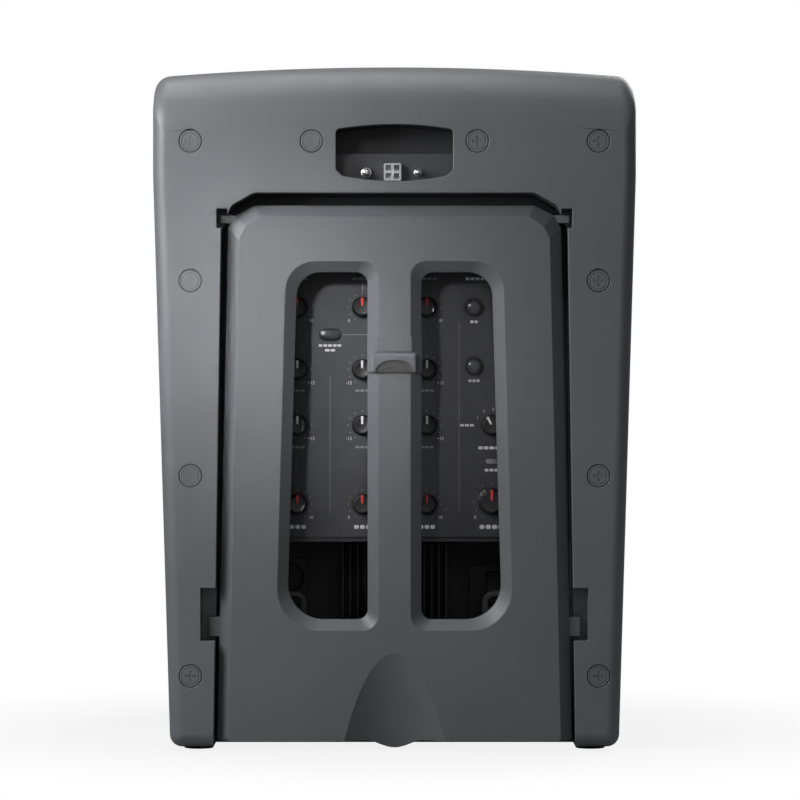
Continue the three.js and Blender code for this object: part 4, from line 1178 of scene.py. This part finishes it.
def panel_print():
    dial_dots()
    main, preset, pill = joint_axis["main_level_knob"], joint_axis["preset_knob"], middle("phantom_button")
    white, grey = [], []
    for column, x in COLUMNS.items():
        for row in ROWS:
            dial = Vector((x, 0, joint_axis[f"{column}_{row}_knob"].z))
            ends = ("0", "10") if row in ("level", "reverb") else ("-12", "+12")
            white += dial_ends(dial, 10.6 * MM, 10.6 * MM, ends, 2.5 * MM)
        white += caption(x, NAME_ROW, 13 * MM, 3.0 * MM, 3)
        grey += caption(x, HEAD_ROW, 16 * MM, 2.2 * MM, 4)
        for z in FILTER_ROWS:
            grey += caption(x, z, 11 * MM, 1.8 * MM, 3)
    white += dial_ends(main, 13.0 * MM, 12.5 * MM, ("0", "10"), 2.7 * MM)
    white += caption(main.x, NAME_ROW, 19 * MM, 3.2 * MM, 4)
    for number, turn in PRESET_TURNS.items():
        angle = math.radians(turn)
        x, z = preset.x + PRESET_REACH * math.sin(angle), preset.z + PRESET_REACH * math.cos(angle)
        white.append(printed_number(number, x, z, 2.3 * MM))
    white += caption(preset.x + 19.5 * MM, preset.z, 11 * MM, 1.9 * MM, 3)
    white += caption(preset.x + 2 * MM, preset.z - 18 * MM, 17 * MM, 2.4 * MM, 4)
    white += caption(preset.x, 219.7 * MM, 11 * MM, 2.2 * MM, 3)
    white += caption(pill.x, pill.z - 8.6 * MM, 18 * MM, 2.0 * MM, 5)
    white += caption(pill.x, pill.z - 12.4 * MM, 8 * MM, 2.0 * MM, 2)
    for node, parts in (("pairing_button", 2), ("voicing_button", 3)):
        place = middle(node)
        white += caption(place.x, place.z - 11.5 * MM, parts * 3 * MM, 2.2 * MM, parts)
    white += caption(-64 * MM, HEAD_ROW, 15 * MM, 2.4 * MM, 4)
    grey.append(printed_bar(pill.x - 21 * MM, pill.z, 22 * MM, 0.5 * MM))
    grey.append(printed_bar(COLUMNS["channel_2"] - 0.2 * MM, 375 * MM, 0.6 * MM, 26 * MM))
    for x, z, length in DIVIDERS:
        grey.append(printed_bar(x * MM, z * MM, 0.4 * MM, length * MM))
    finish_piece(joined("panel_white_print", white), "base", "panel_paint", white_ink)
    finish_piece(joined("panel_grey_print", grey), "base", "panel_paint", grey_ink)


def mixer_controls():
    for column in COLUMNS:
        for row in ROWS:
            control_knob(f"{column}_{row}_knob", red_ink if row in ("level", "reverb") else white_ink)
    control_knob("main_level_knob", red_ink)
    control_knob("preset_knob", white_ink, PRESET_TURN)
    round_button("pairing_button")
    round_button("voicing_button")
    pill_and_lamp()
    panel_print()


# ---- Repeated pieces -----------------------------------------------------------------------------


def repeated(name, shape, places, material, body, slot, *nodes):
    """One plain mesh with a copy of the shape at every place."""
    tree, given, output, sockets = new_nodes(name + "_copies", [("Size", "NodeSocketFloat", 1.0)])
    source = wired(tree, "GeometryNodeObjectInfo", Object=shape, As_Instance=True).outputs["Geometry"]
    copies = copied(tree, given.outputs["Geometry"], source, Scale=given.outputs["Size"])
    closing(tree, copies, output, material)
    points = grown(mesh_piece(name, places, []), tree, sockets, {"Size": 1.0})
    bpy.data.node_groups.remove(tree)
    bpy.data.objects.remove(shape)
    return finish_piece(smooth(points, 30), body, slot, material, *nodes)


def housing_screws():
    """Wide flat plastic heads with a shallow cross and a moulded ring, on plain shanks."""
    head, groove, foot = SCREW_HEAD, -0.35 * MM, -3.2 * MM
    profile = [
        (0, foot), (head, foot), (head, 2 * groove), (head - 0.2 * MM, -0.25 * MM), (head - 0.6 * MM, 0),
        (head - 1.5 * MM, 0), (head - 1.8 * MM, groove), (head - 2.2 * MM, groove),
        (head - 2.5 * MM, 0), (0, 0),
    ]
    shape = turned("screw_shape", profile, sides=56)
    shank = [(0, -60 * MM), (2.4 * MM, -59 * MM), (2.4 * MM, -3 * MM), (0, -3 * MM)]
    add(shape, turned("shank", shank, sides=16))
    arm, half = 4.2 * MM, 0.8 * MM
    outline = [
        (half, -half), (arm, -half), (arm, half), (half, half), (half, arm), (-half, arm),
        (-half, half), (-arm, half), (-arm, -half), (-half, -half), (-half, -arm), (half, -arm),
    ]
    cross = prism("cross", outline, -0.55 * MM, FAR)
    cut(shape, cross)
    split_many_sided(shape)
    places = [(place.x, screw_face, place.z) for place in screw_places]
    repeated("housing_screws", shape, places, plug_finish, "base", "screw_plastic", *screw_nodes)


def rubber_feet():
    """Four pucks with a rounded edge and a dished sole, each with its spigot."""
    nodes = sorted(node for node in frame["nodes"] if node.startswith("foot_"))
    low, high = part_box(nodes[0])
    radius, top = (high.x - low.x) / 2, 2.7 * MM
    profile = [
        (0, high.z), (4 * MM, high.z), (4 * MM, top), (radius, top), (radius, 0.9 * MM),
        (radius - 0.3 * MM, 0.3 * MM), (radius - 0.9 * MM, 0), (radius - 3 * MM, 0),
        (radius - 4 * MM, 0.7 * MM), (0, 0.7 * MM),
    ]
    shape = turned("foot_shape", [(r, -y) for r, y in profile], sides=40)
    shape.data.transform(Matrix.Rotation(math.radians(-90), 4, "X"))
    face_out(shape)
    places = [(middle(node).x, middle(node).y, 0) for node in nodes]
    repeated("rubber_feet", shape, places, rubber_finish, "base", "rubber", *nodes)


GRILLE_INSET = 15.5 * MM
GRILLE_BORDER = 9 * MM
HOLE_PITCH = 8 * MM
HOLE_RADIUS = 3.1 * MM


def inside_outline(x, z, outline):
    """True if (x, z) lies inside a closed outline."""
    crossed = False
    for (x0, z0), (x1, z1) in zip(outline, outline[1:] + outline[:1]):
        if (z0 > z) != (z1 > z) and x < x0 + (z - z0) * (x1 - x0) / (z1 - z0):
            crossed = not crossed
    return crossed


def perforated_cell():
    """A six-sided tile of sheet with one round hole: front, back and the hole's wall.

    It lies a hair behind the rim's face, so that the rim covers the outermost tiles.
    """
    outer = HOLE_PITCH / math.sqrt(3)
    verts, faces = [], []
    for y in (grille_low.y + 0.12 * MM, grille_low.y + 1.4 * MM):
        for radius, sides in ((outer, 6), (HOLE_RADIUS, 12)):
            for step in range(sides):
                angle = 2 * math.pi * step / sides
                verts.append((radius * math.sin(angle), y, radius * math.cos(angle)))
    for layer, base in ((0, 0), (1, 18)):
        for side in range(6):
            a, b = base + side, base + (side + 1) % 6
            h0, h1, h2 = (base + 6 + (2 * side + k) % 12 for k in range(3))
            for face in ((a, h1, h0), (a, b, h1), (b, h2, h1)):
                faces.append(face if layer else face[::-1])
    for step in range(12):
        a, b = 6 + step, 6 + (step + 1) % 12
        faces.append((a, b, b + 18, a + 18))
    return mesh_piece("perforated_cell", verts, faces)


def front_grille():
    """Perforated steel tray: a solid rim with its skirt, tiles of holes inside it and black foam behind."""
    low, front = grille_low.y, grille_low.y + 1.6 * MM
    edge = 3 * MM
    sections = []
    for distance in steps_of(edge, range(0, 91, 15)):
        sections.append((low + distance, cabinet_outline(GRILLE_INSET + rounded_in(edge, distance))))
    shell = loft("grille_rim", sections + [(grille_high.y, cabinet_outline(GRILLE_INSET))])
    hollow = prism("hollow", cabinet_outline(GRILLE_INSET + 2 * MM), front, grille_high.y + FAR)
    border = cabinet_outline(GRILLE_INSET + GRILLE_BORDER)
    cut(shell, hollow, prism("opening", border, low - FAR, front + 2 * FAR))
    split_many_sided(shell)
    finish_piece(smooth(shell, 40), "base", "grille_steel", grille_finish, "front_grille")
    reach = cabinet_outline(GRILLE_INSET + GRILLE_BORDER - HOLE_PITCH * 0.55)
    row_step = HOLE_PITCH * math.sqrt(3) / 2
    places = []
    for row in range(int((CROWN - FOOT) / row_step) + 1):
        z = FOOT + row * row_step
        for column in range(-24, 25):
            x = (column + (row % 2) / 2) * HOLE_PITCH
            if inside_outline(x, z, reach):
                places.append((x, 0, z))
    sheet = repeated("grille_mesh", perforated_cell(), places, grille_finish, "base", "grille_steel")
    with reshaped(sheet) as tool:
        bmesh.ops.remove_doubles(tool, verts=tool.verts, dist=0.01 * MM)
    foam = prism("grille_foam", cabinet_outline(GRILLE_INSET + 2.5 * MM), low + 2.2 * MM, low + 7 * MM)
    finish_piece(foam, "base", "rubber", foam_finish)


RIB_PITCH = 4.4 * MM
RIB_HEIGHT = 0.35 * MM


def carry_handle():
    """Rubber-covered grip across the cup: a rounded bar, slightly thicker in the middle, with fine ribs."""
    low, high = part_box("carry_handle")
    centre_z, half_z = (low.z + high.z) / 2, (high.z - low.z) / 2
    half_y, reach = (high.y - low.y) / 2, high.x
    verts, faces = [], []
    rings, sides = 121, 40
    squareness = 0.45
    for k in range(rings):
        x = -reach + 2 * reach * k / (rings - 1)
        wave = 0.5 + 0.5 * math.cos(x / RIB_PITCH * 2 * math.pi)
        slimmer = 1.2 * MM * (abs(x) / reach) ** 2 + (RIB_HEIGHT * wave if abs(x) < reach - 12 * MM else 0)
        for step in range(sides):
            angle = 2 * math.pi * step / sides
            c, s = math.cos(angle), math.sin(angle)
            y = (half_y - slimmer) * math.copysign(abs(c) ** squareness, c)
            z = (half_z - slimmer) * math.copysign(abs(s) ** squareness, s)
            verts.append((x, y, centre_z + z))
    for k in range(rings - 1):
        for i in range(sides):
            j = (i + 1) % sides
            faces.append((k * sides + i, k * sides + j, (k + 1) * sides + j, (k + 1) * sides + i))
    faces += [tuple(range(sides)), tuple(range((rings - 1) * sides, rings * sides))]
    grip = smooth(face_out(mesh_piece("handle_grip", verts, faces)), 40)
    finish_piece(grip, "base", "rubber", rubber_finish, "carry_handle")


# ---- Build ---------------------------------------------------------------------------------------

rear_housing()
front_housing()
rear_cover()
cover_latch()
carried_over()
mixer_controls()
housing_screws()
rubber_feet()
front_grille()
carry_handle()

# ---- Light and floor -----------------------------------------------------------------------------


def soft_light(name, place, size, power, aim=(0, 0, 0.27)):
    data = bpy.data.lights.new(name, "AREA")
    data.shape = "RECTANGLE"
    data.size, data.size_y = size
    data.energy = power
    lamp = placed(name, data)
    lamp.location = place
    lamp.rotation_euler = (Vector(aim) - Vector(place)).to_track_quat("-Z", "Y").to_euler()
    return data


def mixed(tree, factor, first, second):
    mix = wired(tree, "ShaderNodeMixShader", Fac=factor)
    tree.links.new(first, mix.inputs[1])
    tree.links.new(second, mix.inputs[2])
    return mix.outputs["Shader"]


def studio_floor():
    """A pale floor that fades into the white backdrop a little way out from the cabinet."""
    finish, tree, shader = new_material("studio_floor")
    shader.inputs["Base Color"].default_value = (0.3, 0.3, 0.3, 1)
    shader.inputs["Roughness"].default_value = 0.8
    bright = tree.nodes.new("ShaderNodeEmission").outputs["Emission"]
    reach = tree.nodes.new("ShaderNodeVectorMath")
    reach.operation = "LENGTH"
    tree.links.new(tree.nodes.new("ShaderNodeTexCoord").outputs["Object"], reach.inputs[0])
    fade = spread(tree, reach.outputs["Value"], 0.86, 1.0, 0.25, 0.5)
    seen = tree.nodes.new("ShaderNodeLightPath").outputs["Is Camera Ray"]
    mix = mixed(tree, maths(tree, "MULTIPLY", fade, seen), shader.outputs["BSDF"], bright)
    output = next(node for node in tree.nodes if node.type == "OUTPUT_MATERIAL")
    tree.links.new(mix, output.inputs["Surface"])
    far = 30
    corners = [(-far, -far, 0), (far, -far, 0), (far, far, 0), (-far, far, 0)]
    sheet = mesh_piece("studio_floor", corners, [(0, 1, 2, 3)])
    sheet.data.materials.append(finish)


def studio_world():
    world = bpy.data.worlds.new("studio")
    world.use_nodes = True
    tree = world.node_tree
    tree.nodes.clear()
    seen = wired(tree, "ShaderNodeBackground", Color=(1, 1, 1, 1)).outputs["Background"]
    lit = wired(tree, "ShaderNodeBackground", Color=(0.155, 0.155, 0.16, 1)).outputs["Background"]
    camera_ray = tree.nodes.new("ShaderNodeLightPath").outputs["Is Camera Ray"]
    wired(tree, "ShaderNodeOutputWorld", Surface=mixed(tree, camera_ray, lit, seen))
    bpy.context.scene.world = world


soft_light("key_light", (0.53, BACK + 0.34, 0.60), (0.3, 0.45), 5.6, (0.02, BACK, 0.28))
spot = soft_light("cover_light", (0.42, BACK + 0.95, 0.62), (0.12, 0.12), 0.105, (0.085, BACK, 0.33))
spot.spread = math.radians(18)
soft_light("top_light", (0.2, 0.0, 1.6), (1.0, 0.8), 9)
soft_light("fill_light", (-0.3, BACK + 2.4, 0.9), (1.4, 1.4), 3)
soft_light("front_key", (-1.0, -1.7, 1.3), (1.2, 1.2), 34)
studio_floor()
studio_world()
bpy.context.scene.view_settings.view_transform = "Standard"
